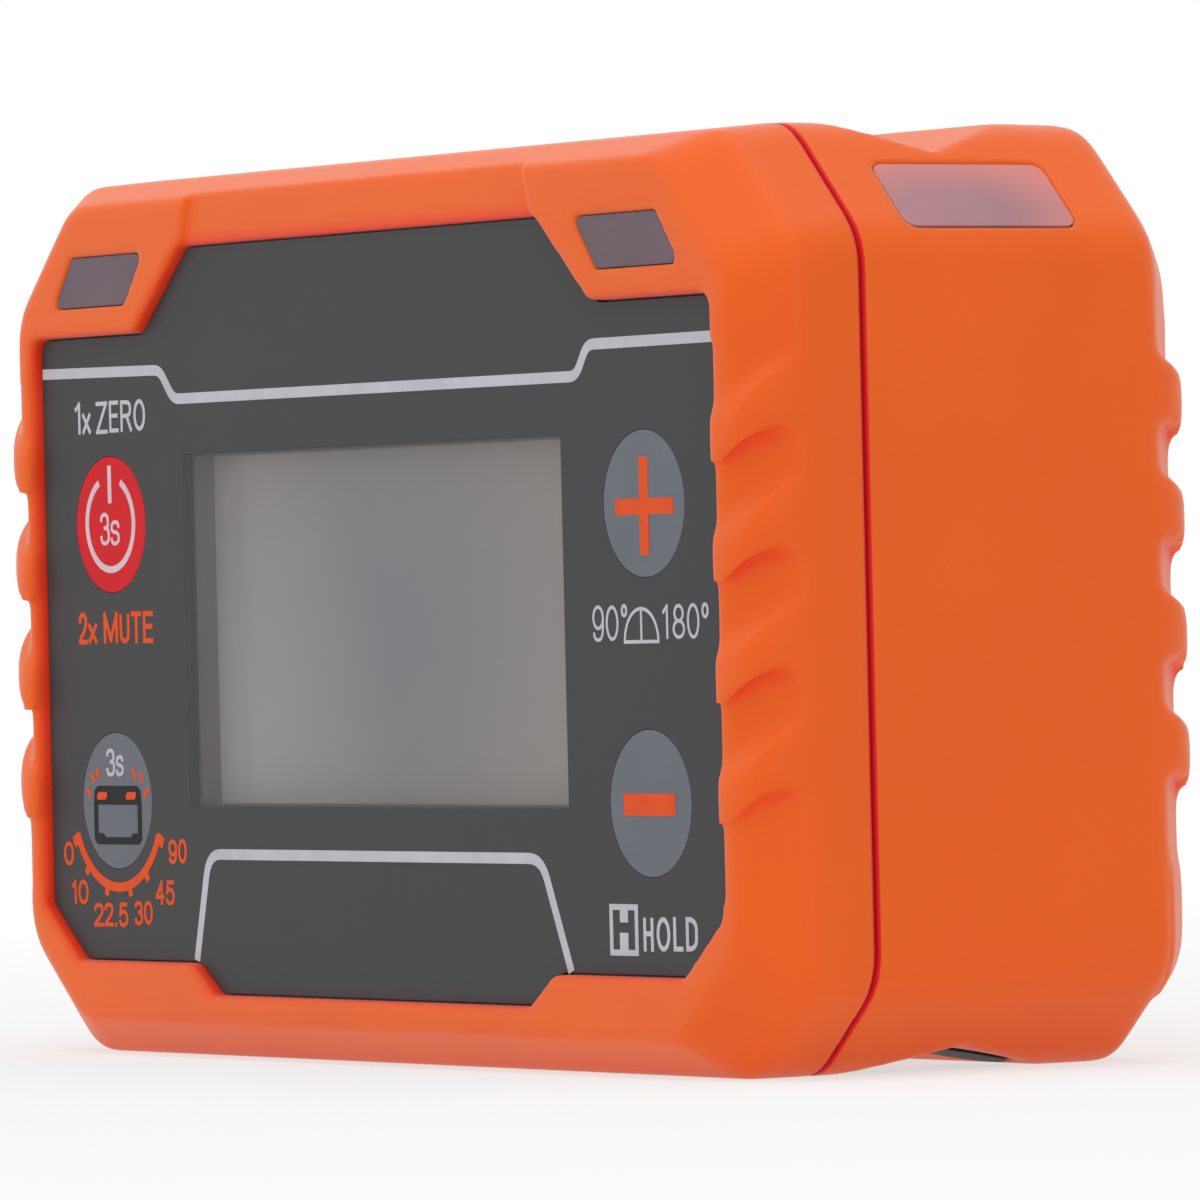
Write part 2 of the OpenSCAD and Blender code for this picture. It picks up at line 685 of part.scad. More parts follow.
module housing_screws() color("#9a9ca0") at_screws() difference() {
    union() {
        post(0, 0, screw_seat - screw_l, screw_seat + 0.1, screw_r);
        post(0, 0, screw_seat, screw_seat + screw_head_t, head_r);
    }
    block(0, 0, cross_l, cross_w, screw_seat + screw_head_t / 2, screw_seat + 2 * screw_head_t);
    block(0, 0, cross_w, cross_l, screw_seat + screw_head_t / 2, screw_seat + 2 * screw_head_t);
}

front_housing();
rear_housing();
face_overlay();
display_window();
lcd_frame();
lcd_panel();
backlight_panel();
lcd_connector();
power_button();
program_button();
plus_button();
minus_button();
power_plunger();
program_plunger();
plus_plunger();
minus_plunger();
key_switches();
front_left_light();
front_right_light();
side_left_light();
side_right_light();
front_lamps();
side_lamps();
circuit_board();
controller_chip();
tilt_sensor();
sounder();
base_magnets();
battery_door();
battery_cells();
bridge_contact();
end_contacts();
contact_springs();
housing_screws();
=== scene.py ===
import json
import math

import bpy
import numpy as np
from mathutils.bvhtree import BVHTree
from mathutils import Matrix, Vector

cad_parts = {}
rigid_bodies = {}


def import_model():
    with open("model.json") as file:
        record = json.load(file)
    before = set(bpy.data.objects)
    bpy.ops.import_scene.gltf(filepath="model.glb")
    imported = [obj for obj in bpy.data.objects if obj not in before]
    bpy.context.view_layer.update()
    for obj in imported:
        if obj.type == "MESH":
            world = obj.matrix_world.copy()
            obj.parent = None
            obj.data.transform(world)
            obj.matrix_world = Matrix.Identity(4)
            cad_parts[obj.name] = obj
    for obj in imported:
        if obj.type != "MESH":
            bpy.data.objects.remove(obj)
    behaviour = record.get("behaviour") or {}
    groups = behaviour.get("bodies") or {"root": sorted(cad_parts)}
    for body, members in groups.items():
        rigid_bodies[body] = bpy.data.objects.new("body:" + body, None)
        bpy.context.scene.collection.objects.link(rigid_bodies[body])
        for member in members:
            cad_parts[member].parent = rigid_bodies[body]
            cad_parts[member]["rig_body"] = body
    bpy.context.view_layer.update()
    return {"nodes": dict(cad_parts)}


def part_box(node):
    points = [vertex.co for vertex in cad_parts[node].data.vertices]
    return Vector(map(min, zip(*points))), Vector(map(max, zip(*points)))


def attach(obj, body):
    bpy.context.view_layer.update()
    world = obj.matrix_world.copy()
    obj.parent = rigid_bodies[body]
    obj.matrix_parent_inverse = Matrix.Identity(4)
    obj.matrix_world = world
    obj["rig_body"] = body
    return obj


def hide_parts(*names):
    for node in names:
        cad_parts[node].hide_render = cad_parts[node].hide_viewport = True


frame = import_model()
nodes = frame["nodes"]
mm = 0.001
mergeGap = 0.001 * mm  # corners of a solid that lie nearer than this are joined
print("frame loaded:", len(nodes), "nodes")


# selection and edit-mode helpers

def pick(piece):
    bpy.ops.object.select_all(action="DESELECT")
    piece.select_set(True)
    bpy.context.view_layer.objects.active = piece


def editAll(piece):
    pick(piece)
    bpy.ops.object.mode_set(mode="EDIT")
    bpy.ops.mesh.select_mode(type="VERT")
    bpy.ops.mesh.select_all(action="SELECT")


def leaveEdit():
    bpy.ops.object.mode_set(mode="OBJECT")


def mergedCopy(nodeName, pieceName):  # the solid's own mesh, joined up so that it can be shaped
    piece = bpy.data.objects.new(pieceName, nodes[nodeName].data.copy())
    bpy.context.scene.collection.objects.link(piece)
    piece.data.materials.clear()
    editAll(piece)
    bpy.ops.mesh.remove_doubles(threshold=mergeGap)
    leaveEdit()
    return piece


def applyModifier(piece, kind, **settings):
    modifier = piece.modifiers.new(kind.lower(), kind)
    for key, value in settings.items():
        setattr(modifier, key, value)
    pick(piece)
    bpy.ops.object.modifier_apply(modifier=modifier.name)


def standIn(piece, nodeName, material):
    piece.data.materials.append(material)
    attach(piece, nodes[nodeName]["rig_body"])
    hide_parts(nodeName)


# shader groups shared by several finishes

def newGroup(name, inputs, outputs):
    group = bpy.data.node_groups.new(name, "ShaderNodeTree")
    for label, kind, value in inputs:
        socket = group.interface.new_socket(name=label, in_out="INPUT", socket_type=kind)
        socket.default_value = value
    for label, kind in outputs:
        group.interface.new_socket(name=label, in_out="OUTPUT", socket_type=kind)
    return group, group.nodes.new("NodeGroupInput"), group.nodes.new("NodeGroupOutput")


def mathNode(tree, operation, first, second, clamp=False):
    node = tree.nodes.new("ShaderNodeMath")
    node.operation = operation
    node.use_clamp = clamp
    for socket, value in zip(node.inputs, (first, second)):
        if isinstance(value, (int, float)):
            socket.default_value = value
        else:
            tree.links.new(value, socket)
    return node.outputs[0]


def mixColour(tree, factor, first, second):
    node = tree.nodes.new("ShaderNodeMix")
    node.data_type = "RGBA"
    for socket, value in ((node.inputs[0], factor), (node.inputs[6], first), (node.inputs[7], second)):
        if isinstance(value, (int, float, tuple)):
            socket.default_value = value
        else:
            tree.links.new(value, socket)
    return node.outputs[2]


def noiseNode(tree, coordinates, scale, detail):
    node = tree.nodes.new("ShaderNodeTexNoise")
    node.inputs["Detail"].default_value = detail
    tree.links.new(coordinates, node.inputs["Vector"])
    if isinstance(scale, (int, float)):
        node.inputs["Scale"].default_value = scale
    else:
        tree.links.new(scale, node.inputs["Scale"])
    return node.outputs[0]


grainDetail = {"fine": 3, "slow": 2}
dustShape = {"largest": 0.22, "strength": 0.7}  # share of a cell, and share of the speck's colour


def buildMouldGrain():  # fine spark grain of a moulding, and slow unevenness of its colour and gloss
    group, given, result = newGroup(
        "mouldGrain",
        [("Grain Scale", "NodeSocketFloat", 2600), ("Mottle Scale", "NodeSocketFloat", 90)],
        [("Height", "NodeSocketFloat"), ("Mottle", "NodeSocketFloat")])
    coords = group.nodes.new("ShaderNodeTexCoord").outputs["Object"]
    fine = noiseNode(group, coords, given.outputs["Grain Scale"], grainDetail["fine"])
    slow = noiseNode(group, coords, given.outputs["Mottle Scale"], grainDetail["slow"])
    group.links.new(fine, result.inputs["Height"])
    group.links.new(slow, result.inputs["Mottle"])
    return group


def buildDustSpecks():  # sparse pale specks of lint and dust
    group, given, result = newGroup(
        "dustSpecks",
        [("Surface", "NodeSocketColor", (0.5, 0.5, 0.5, 1)), ("Speck", "NodeSocketColor", (0.8, 0.8, 0.8, 1)),
         ("Cells", "NodeSocketFloat", 600), ("Cover", "NodeSocketFloat", 0.05)],
        [("Color", "NodeSocketColor")])
    coords = group.nodes.new("ShaderNodeTexCoord").outputs["Object"]
    cells = group.nodes.new("ShaderNodeTexVoronoi")
    group.links.new(coords, cells.inputs["Vector"])
    group.links.new(given.outputs["Cells"], cells.inputs["Scale"])
    split = group.nodes.new("ShaderNodeSeparateColor")
    group.links.new(cells.outputs["Color"], split.inputs[0])
    chosen = mathNode(group, "LESS_THAN", split.outputs[0], given.outputs["Cover"])
    reach = mathNode(group, "MULTIPLY", split.outputs[1], dustShape["largest"])
    inside = mathNode(group, "LESS_THAN", cells.outputs["Distance"], reach)
    mask = mathNode(group, "MULTIPLY", mathNode(group, "MULTIPLY", chosen, inside), dustShape["strength"])
    group.links.new(mixColour(group, mask, given.outputs["Surface"], given.outputs["Speck"]),
                    result.inputs["Color"])
    return group


def buildPaintedShade():  # painted shade: the case's colour is mixed to dark red in its seam gap, on the recess walls round the face and in the hollows under its ribs, where shade falls
    group, given, result = newGroup(
        "paintedShadeGroup",
        [("Surface", "NodeSocketColor", (0.8, 0.1, 0.01, 1)),
         ("Wall", "NodeSocketColor", (0.8, 0.05, 0.01, 1)),
         ("Seam", "NodeSocketColor", (0.5, 0.01, 0.01, 1)),
         ("Seam Y", "NodeSocketFloat", 0), ("Seam Half", "NodeSocketFloat", 0.3 * mm)],
        [("Color", "NodeSocketColor")])
    # per-vertex mask of painted shade on the recess walls and in the rib hollows
    shadeMask = group.nodes.new("ShaderNodeAttribute")
    shadeMask.attribute_name = "shadeMask"
    tint = mixColour(group, shadeMask.outputs["Fac"], given.outputs["Surface"], given.outputs["Wall"])
    split = group.nodes.new("ShaderNodeSeparateXYZ")
    group.links.new(group.nodes.new("ShaderNodeTexCoord").outputs["Object"], split.inputs[0])
    # a thin band along the seam gets the painted shade colour of the seam gap
    offSeam = mathNode(group, "SUBTRACT", split.outputs[1], given.outputs["Seam Y"])
    seam = mathNode(group, "LESS_THAN", mathNode(group, "ABSOLUTE", offSeam, 0), given.outputs["Seam Half"])
    group.links.new(mixColour(group, seam, tint, given.outputs["Seam"]), result.inputs["Color"])
    return group


mouldGrain = buildMouldGrain()
dustSpecks = buildDustSpecks()
paintedShadeGroup = buildPaintedShade()
print("shader groups built")


# finishes

def newMaterial(name, values):
    material = bpy.data.materials.new(name)
    material.use_nodes = True
    shader = material.node_tree.nodes["Principled BSDF"]
    for label, value in values.items():
        shader.inputs[label].default_value = value
    return material, material.node_tree, shader


def place(tree, group, **values):
    node = tree.nodes.new("ShaderNodeGroup")
    node.node_tree = group
    for label, value in values.items():
        node.inputs[label.replace("_", " ")].default_value = value
    return node


def addBump(tree, shader, height, strength, depth):
    bump = tree.nodes.new("ShaderNodeBump")
    bump.inputs["Strength"].default_value = strength
    bump.inputs["Distance"].default_value = depth
    tree.links.new(height, bump.inputs["Height"])
    tree.links.new(bump.outputs["Normal"], shader.inputs["Normal"])


noiseRange = (0.3, 0.7)


def spread(tree, value, low=0, high=1):  # maps the usual range of a noise onto low to high
    node = tree.nodes.new("ShaderNodeMapRange")
    tree.links.new(value, node.inputs["Value"])
    for label, limit in zip(("From Min", "From Max", "To Min", "To Max"), (*noiseRange, low, high)):
        node.inputs[label].default_value = limit
    return node.outputs[0]


mouldBasics = {
    "glow": 0, "glowRadius": (1.0, 0.22, 0.06), "glowDepth": 2 * mm, "sheen": 0, "sheenRoughness": 0.35,
    "dust": 0, "bumpDepth": 0.02 * mm,
}


def mouldedFinish(name, spec):  # satin moulded plastic or printed film
    spec = {**mouldBasics, **spec}
    material, tree, shader = newMaterial(name, {
        "Specular IOR Level": spec["specular"], "Sheen Weight": spec["sheen"],
        "Sheen Roughness": spec["sheenRoughness"], "Subsurface Weight": spec["glow"],
        "Subsurface Radius": spec["glowRadius"], "Subsurface Scale": spec["glowDepth"]})
    grain = place(tree, mouldGrain, Grain_Scale=spec["grainScale"], Mottle_Scale=spec["mottleScale"])
    tint = mixColour(tree, spread(tree, grain.outputs["Mottle"]), spec["dark"], spec["light"])
    if spec["dust"]:
        dust = place(tree, dustSpecks, Speck=spec["speck"], Cells=spec["dustCells"], Cover=spec["dust"])
        tree.links.new(tint, dust.inputs["Surface"])
        tint = dust.outputs["Color"]
    # painted shade of the seam gap, face recess and rib hollows, when the spec asks for it
    if "recessShade" in spec:
        recessShade = place(tree, paintedShadeGroup, **spec["recessShade"])
        tree.links.new(tint, recessShade.inputs["Surface"])
        tint = recessShade.outputs["Color"]
    tree.links.new(tint, shader.inputs["Base Color"])
    tree.links.new(spread(tree, grain.outputs["Mottle"], *spec["gloss"]), shader.inputs["Roughness"])
    addBump(tree, shader, grain.outputs["Height"], spec["bump"], spec["bumpDepth"])
    return material


seamLap = 1.25 * mm  # the rear housing's lip reaches this far forward of the seam's middle
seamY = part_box("rear_housing")[0].y + seamLap
caseSpec = {
    "dark": (0.87, 0.124, 0.007, 1), "light": (0.91, 0.136, 0.009, 1), "gloss": (0.44, 0.52),
    "specular": 0.25, "grainScale": 2600, "mottleScale": 60, "bump": 0.10, "glow": 0.3, "sheen": 0.28,
    "dust": 0.012, "dustCells": 500, "speck": (0.9, 0.5, 0.35, 1),
    # painted shade colours: dark red on the recess walls and in the rib hollows, darker red in the seam gap
    "recessShade": {"Wall": (0.95, 0.045, 0.008, 1), "Seam": (0.78, 0.012, 0.016, 1), "Seam_Y": seamY,
             "Seam_Half": 0.30 * mm},
}
filmSpec = {
    "dark": (0.038, 0.039, 0.042, 1), "light": (0.044, 0.045, 0.048, 1), "gloss": (0.48, 0.56),
    "specular": 0.3, "grainScale": 5200, "mottleScale": 140, "bump": 0.10,
    "dust": 0.05, "dustCells": 420, "speck": (0.30, 0.30, 0.31, 1),
}
redKeySpec = {
    "dark": (0.64, 0.008, 0.015, 1), "light": (0.70, 0.012, 0.019, 1), "gloss": (0.46, 0.54),
    "specular": 0.15, "grainScale": 5200, "mottleScale": 200, "bump": 0.08,
    "dust": 0.03, "dustCells": 420, "speck": (0.8, 0.3, 0.3, 1),
}
greyKeySpec = {
    "dark": (0.124, 0.139, 0.164, 1), "light": (0.142, 0.158, 0.184, 1), "gloss": (0.46, 0.54),
    "specular": 0.3, "grainScale": 5200, "mottleScale": 200, "bump": 0.08,
    "dust": 0.03, "dustCells": 420, "speck": (0.5, 0.5, 0.5, 1),
}
frameSpec = {
    "dark": (0.132, 0.125, 0.128, 1), "light": (0.150, 0.143, 0.147, 1), "gloss": (0.5, 0.6),
    "specular": 0.3, "grainScale": 4000, "mottleScale": 150, "bump": 0.1,
}
darkSpec = {
    "dark": (0.014, 0.014, 0.015, 1), "light": (0.022, 0.022, 0.024, 1), "gloss": (0.4, 0.55),
    "specular": 0.4, "grainScale": 4000, "mottleScale": 200, "bump": 0.1,
}
boardSpec = {
    "dark": (0.018, 0.11, 0.045, 1), "light": (0.028, 0.14, 0.06, 1), "gloss": (0.3, 0.4),
    "specular": 0.5, "grainScale": 1500, "mottleScale": 220, "bump": 0.08,
}
whiteSpec = {
    "dark": (0.76, 0.76, 0.72, 1), "light": (0.84, 0.84, 0.80, 1), "gloss": (0.4, 0.5),
    "specular": 0.4, "grainScale": 3000, "mottleScale": 150, "bump": 0.05,
}
stripSpec = {
    "dark": (0.52, 0.21, 0.26, 1), "light": (0.62, 0.27, 0.32, 1), "gloss": (0.6, 0.75),
    "specular": 0.3, "grainScale": 3000, "mottleScale": 300, "bump": 0.1,
}
greyInkSpec = {
    "dark": (0.50, 0.50, 0.54, 1), "light": (0.57, 0.57, 0.62, 1), "gloss": (0.5, 0.6),
    "specular": 0.3, "grainScale": 6000, "mottleScale": 500, "bump": 0.05,
}
paleInkSpec = {
    "dark": (0.70, 0.52, 0.56, 1), "light": (0.76, 0.58, 0.62, 1), "gloss": (0.5, 0.6),
    "specular": 0.3, "grainScale": 6000, "mottleScale": 500, "bump": 0.05,
}
orangeInkSpec = {
    "dark": (0.74, 0.080, 0.014, 1), "light": (0.82, 0.096, 0.018, 1), "gloss": (0.5, 0.6),
    "specular": 0.15, "grainScale": 6000, "mottleScale": 500, "bump": 0.05,
}
blackInkSpec = {
    "dark": (0.008, 0.008, 0.009, 1), "light": (0.013, 0.013, 0.014, 1), "gloss": (0.5, 0.6),
    "specular": 0.2, "grainScale": 6000, "mottleScale": 500, "bump": 0.05,
}
jacketSpec = {
    "dark": (0.035, 0.038, 0.044, 1), "light": (0.05, 0.054, 0.06, 1), "gloss": (0.25, 0.35),
    "specular": 0.5, "grainScale": 2000, "mottleScale": 120, "bump": 0.05,
}
casePlastic = mouldedFinish("caseOrange", caseSpec)
overlayFilm = mouldedFinish("overlayFilm", filmSpec)
redKey = mouldedFinish("redKeyFilm", redKeySpec)
greyKey = mouldedFinish("greyKeyFilm", greyKeySpec)
frameDark = mouldedFinish("displayFramePlastic", frameSpec)
innerBlack = mouldedFinish("blackPlastic", darkSpec)
boardMask = mouldedFinish("boardMask", boardSpec)
diffuserWhite = mouldedFinish("diffuserWhite", whiteSpec)
stripRubber = mouldedFinish("stripRubber", stripSpec)
greyInk = mouldedFinish("greyInk", greyInkSpec)
paleInk = mouldedFinish("paleInk", paleInkSpec)
orangeInk = mouldedFinish("orangeInk", orangeInkSpec)
blackInk = mouldedFinish("blackInk", blackInkSpec)
cellJacket = mouldedFinish("cellJacket", jacketSpec)


metalBasics = {"grainScale": 5000, "mottleScale": 700, "bump": 0.08, "bumpDepth": 0.01 * mm}
contactSpec = {"dark": (0.52, 0.53, 0.54, 1), "light": (0.66, 0.67, 0.68, 1), "gloss": (0.22, 0.36)}
screwSpec = {"dark": (0.28, 0.29, 0.30, 1), "light": (0.40, 0.41, 0.42, 1), "gloss": (0.28, 0.42)}
magnetSpec = {"dark": (0.012, 0.012, 0.013, 1), "light": (0.022, 0.022, 0.024, 1), "gloss": (0.35, 0.5)}


def metalFinish(name, spec):
    spec = {**metalBasics, **spec}
    material, tree, shader = newMaterial(name, {"Metallic": 1.0})
    grain = place(tree, mouldGrain, Grain_Scale=spec["grainScale"], Mottle_Scale=spec["mottleScale"])
    tint = mixColour(tree, spread(tree, grain.outputs["Mottle"]), spec["dark"], spec["light"])
    tree.links.new(tint, shader.inputs["Base Color"])
    tree.links.new(spread(tree, grain.outputs["Height"], *spec["gloss"]), shader.inputs["Roughness"])
    addBump(tree, shader, grain.outputs["Height"], spec["bump"], spec["bumpDepth"])
    return material


contactMetal = metalFinish("contactPlating", contactSpec)
screwMetal = metalFinish("screwPlating", screwSpec)
magnetMetal = metalFinish("magnetBlack", magnetSpec)


def glowAround(tree, centre, half):  # 1 at the centre of a piece, 0 at the half sizes
    coords = tree.nodes.new("ShaderNodeTexCoord").outputs["Object"]
    mapping = tree.nodes.new("ShaderNodeMapping")
    mapping.vector_type = "TEXTURE"
    mapping.inputs["Location"].default_value = centre
    mapping.inputs["Scale"].default_value = half
    tree.links.new(coords, mapping.inputs["Vector"])
    ball = tree.nodes.new("ShaderNodeTexGradient")
    ball.gradient_type = "SPHERICAL"
    tree.links.new(mapping.outputs["Vector"], ball.inputs["Vector"])
    return ball.outputs["Fac"], coords


milkyBasics = {
    "specular": 0.3, "cloudScale": 160, "cloudDetail": 1, "grainScale": 3500, "mottleScale": 200,
    "bump": 0.1, "bumpDepth": 0.02 * mm,
}


def milkyFinish(name, spec, nodeName):  # frosted light window, with painted glow: pinker towards its rim, standing in for the orange case's light bleeding into it
    spec = {**milkyBasics, **spec}
    low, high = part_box(nodeName)
    centre = (low + high) / 2
    side = 1 if centre.x > 0 else -1
    inward, back, up = spec["shift"]
    focus = [c + s * mm for c, s in zip(centre, (-side * inward, back, up))]
    half = [size * mm for size in spec["half"]]
    material, tree, shader = newMaterial(name, {
        "Roughness": spec["roughness"], "Specular IOR Level": spec["specular"]})
    core, coords = glowAround(tree, focus, half)
    cloud = noiseNode(tree, coords, spec["cloudScale"], spec["cloudDetail"])
    inner = mixColour(tree, spread(tree, cloud), spec["dark"], spec["light"])
    # painted glow colour towards the rim, cloudy colour in the middle
    tree.links.new(mixColour(tree, mathNode(tree, "MULTIPLY", core, spec["reach"], True),
                             spec["edge"], inner), shader.inputs["Base Color"])
    grain = place(tree, mouldGrain, Grain_Scale=spec["grainScale"], Mottle_Scale=spec["mottleScale"])
    addBump(tree, shader, grain.outputs["Height"], spec["bump"], spec["bumpDepth"])
    return material


# the rim colours of both lens kinds are painted glow from the orange case
frontLightSpec = {
    "dark": (0.138, 0.090, 0.112, 1), "light": (0.152, 0.100, 0.124, 1), "edge": (0.165, 0.095, 0.112, 1),
    "shift": (0, 0, 0), "half": (9, 9, 5), "reach": 4.0, "roughness": 0.45,
}
sideLightSpec = {
    "dark": (0.39, 0.187, 0.215, 1), "light": (0.44, 0.212, 0.24, 1), "edge": (0.70, 0.232, 0.212, 1),
    "shift": (0.8, -1.8, -0.9), "half": (7.5, 11, 4.4), "reach": 2.4, "roughness": 0.4,
}


def displayFinish(spec):  # a dead display, cooler in its middle and paler at its lower left corner
    low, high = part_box("display_window")
    centre = (low + high) / 2
    material, tree, shader = newMaterial("displayGlass", {
        "Roughness": spec["roughness"], "Specular IOR Level": spec["specular"]})
    cool, coords = glowAround(tree, (centre.x + spec["shift"], centre.y, centre.z), spec["coolHalf"])
    patch = noiseNode(tree, coords, spec["patchScale"], 0)
    warm = mixColour(tree, spread(tree, patch), spec["warmDark"], spec["warmLight"])
    tint = mixColour(tree, mathNode(tree, "MULTIPLY", cool, spec["coolShare"], True), warm, spec["cool"])
    pale = glowAround(tree, (low.x, centre.y, low.z), spec["paleHalf"])[0]
    tree.links.new(mixColour(tree, pale, tint, spec["pale"]), shader.inputs["Base Color"])
    return material


displaySpec = {
    "roughness": 0.22, "specular": 0.4,
    "shift": -2 * mm, "coolHalf": (24 * mm, 24 * mm, 16 * mm), "coolShare": 1.25, "patchScale": 38,
    "warmDark": (0.385, 0.342, 0.312, 1), "warmLight": (0.455, 0.425, 0.392, 1),
    "cool": (0.278, 0.276, 0.318, 1), "paleHalf": (22 * mm, 22 * mm, 30 * mm), "pale": (0.55, 0.55, 0.54, 1),
}
displayGlass = displayFinish(displaySpec)


paneSpec = {
    "Base Color": (0.315, 0.308, 0.305, 1), "Roughness": 0.3, "Alpha": 0.2, "Specular IOR Level": 0.2,
}


def paneFinish(spec):  # clear flush pane over the display
    material = newMaterial("clearPane", spec)[0]
    material.surface_render_method = "BLENDED"
    return material


clearPane = paneFinish(paneSpec)
lampSpec = {
    "dark": (0.85, 0.80, 0.5, 1), "light": (0.92, 0.88, 0.62, 1), "grainScale": 2500, "mottleScale": 900,
    "roughness": 0.25, "specular": 0.5,
}


def lampFinish(spec):
    material, tree, shader = newMaterial("lampBody", {
        "Roughness": spec["roughness"], "Specular IOR Level": spec["specular"]})
    grain = place(tree, mouldGrain, Grain_Scale=spec["grainScale"], Mottle_Scale=spec["mottleScale"])
    tint = mixColour(tree, spread(tree, grain.outputs["Mottle"]), spec["dark"], spec["light"])
    tree.links.new(tint, shader.inputs["Base Color"])
    return material


lampBody = lampFinish(lampSpec)
print("finishes made")


# soft-edged shells over the two housings

shellSpec = {
    "front_housing": {"piece": "frontShell", "fill": 0.9, "triangles": 190000, "passes": 10,
                      "ribPasses": 50, "roundPasses": 0},
    "rear_housing": {"piece": "rearShell", "fill": 0.63, "triangles": 190000, "passes": 8,
                     "ribPasses": 24, "roundPasses": 60},
}
softSpec = {
    "blend": 0.5, "everywhere": 2, "seamHold": 0.7 * mm, "windowHold": 0.35 * mm, "depth": 9, "quickDepth": 8,
    "roundSide": 30 * mm, "roundLow": 45 * mm, "roundFrom": 9 * mm,
    # the wall and hollow values set the reach and strength of the painted shade mask
    "ribSide": 39 * mm, "ribLow": 10.5 * mm, "ribHigh": 44 * mm, "wallFade": 1.1 * mm, "wallGain": 1.35,
    "hollowPasses": 120, "hollowDepth": 0.12 * mm, "hollowLean": 0.2, "hollowGain": 0.6,
}
lensNames = ("front_left_light", "front_right_light", "side_left_light", "side_right_light")


def nearness(points, nodeName, reach):  # 1 on a solid's surface, falling to 0 at the reach
    low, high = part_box(nodeName)
    close = np.all((points > np.array(low) - reach) & (points < np.array(high) + reach), axis=1)
    mesh = nodes[nodeName].data
    tree = BVHTree.FromPolygons([v.co for v in mesh.vertices], [tuple(f.vertices) for f in mesh.polygons])
    share = np.zeros(len(points), np.float32)
    for index in np.flatnonzero(close):
        share[index] = max(0, 1 - tree.find_nearest(points[index].tolist())[3] / reach)
    return share


def meshVectors(piece, kind):  # every vertex's place ("co") or normal, one row each
    values = np.empty(3 * len(piece.data.vertices), np.float32)
    piece.data.vertices.foreach_get(kind, values)
    return values.reshape(-1, 3)


def smoothWhere(piece, mask, passes):
    group = piece.vertex_groups.new(name="soft")
    group.add(np.flatnonzero(mask).tolist(), 1.0, "REPLACE")
    applyModifier(piece, "SMOOTH", factor=softSpec["blend"], iterations=passes, vertex_group=group.name)
    piece.vertex_groups.clear()


def ribZone(points):
    zone = np.abs(points[:, 0]) > softSpec["ribSide"]
    return zone & (points[:, 2] > softSpec["ribLow"]) & (points[:, 2] < softSpec["ribHigh"])


def hollows(piece):  # 1 in the hollows under the ribs, which smoothing would fill to the hollow depth; these get painted shade
    points = meshVectors(piece, "co")
    probe = piece.copy()
    probe.data = piece.data.copy()
    bpy.context.scene.collection.objects.link(probe)
    applyModifier(probe, "SMOOTH", factor=softSpec["blend"], iterations=softSpec["hollowPasses"])
    lift = np.sum((meshVectors(probe, "co") - points) * meshVectors(piece, "normal"), axis=1)
    downward = -meshVectors(probe, "normal")[:, 2]
    bpy.data.meshes.remove(probe.data)
    share = np.clip(lift / softSpec["hollowDepth"], 0, 1) * np.clip(downward / softSpec["hollowLean"], 0, 1)
    return share * ribZone(points)


def softShell(nodeName, spec):
    shell = mergedCopy(nodeName, spec["piece"])
    depth = softSpec["depth"]
    applyModifier(shell, "REMESH", mode="SMOOTH", octree_depth=depth, scale=spec["fill"],
                  use_remove_disconnected=False)
    points = meshVectors(shell, "co")
    held = np.abs(points[:, 1] - seamY) < softSpec["seamHold"]
    for lensName in lensNames:  # the edges of the light windows and of the seam stay crisp
        held |= nearness(points, lensName, softSpec["windowHold"]) > 0
    onRibs = ribZone(points) & ~held
    corner = (np.abs(points[:, 0]) > softSpec["roundSide"]) & (points[:, 1] > softSpec["roundFrom"])
    corner &= (points[:, 2] > softSpec["roundLow"]) & ~held
    smoothWhere(shell, np.ones(len(points), bool), softSpec["everywhere"])
    smoothWhere(shell, ~held, spec["passes"])
    smoothWhere(shell, onRibs, spec["ribPasses"])
    smoothWhere(shell, corner, spec["roundPasses"])
    share = spec["triangles"] / (2 * len(shell.data.polygons))
    if share < 1:
        applyModifier(shell, "DECIMATE", ratio=share)
    pick(shell)
    bpy.ops.object.shade_smooth()
    # painted shade mask: strongest on the recess walls round the face overlay and in the hollows under the
    # ribs
    shadeMask = shell.data.attributes.new("shadeMask", "FLOAT", "POINT")
    share = softSpec["wallGain"] * nearness(meshVectors(shell, "co"), "face_overlay", softSpec["wallFade"])
    share = np.maximum(share, softSpec["hollowGain"] * hollows(shell))
    shadeMask.data.foreach_set("value", np.minimum(share, 1).astype(np.float32))
    standIn(shell, nodeName, casePlastic)
    return shell


for nodeName, spec in shellSpec.items():
    shell = softShell(nodeName, spec)
    print(shell.name, "made with", len(shell.data.polygons), "faces")


# crisp solids with small broken edges

edgeShape = {"segments": 2, "flatWithin": 0.5, "bevelFrom": 38, "smoothWithin": 32}  # angles in degrees


def brokenEdges(nodeName, pieceName, width, material):
    piece = mergedCopy(nodeName, pieceName)
    editAll(piece)
    bpy.ops.mesh.dissolve_limited(angle_limit=math.radians(edgeShape["flatWithin"]))
    leaveEdit()
    applyModifier(piece, "BEVEL", width=width, segments=edgeShape["segments"], limit_method="ANGLE",
                  angle_limit=math.radians(edgeShape["bevelFrom"]), use_clamp_overlap=True)
    pick(piece)
    bpy.ops.object.shade_smooth_by_angle(angle=math.radians(edgeShape["smoothWithin"]))
    applyModifier(piece, "WEIGHTED_NORMAL", keep_sharp=True)
    standIn(piece, nodeName, material)
    return piece


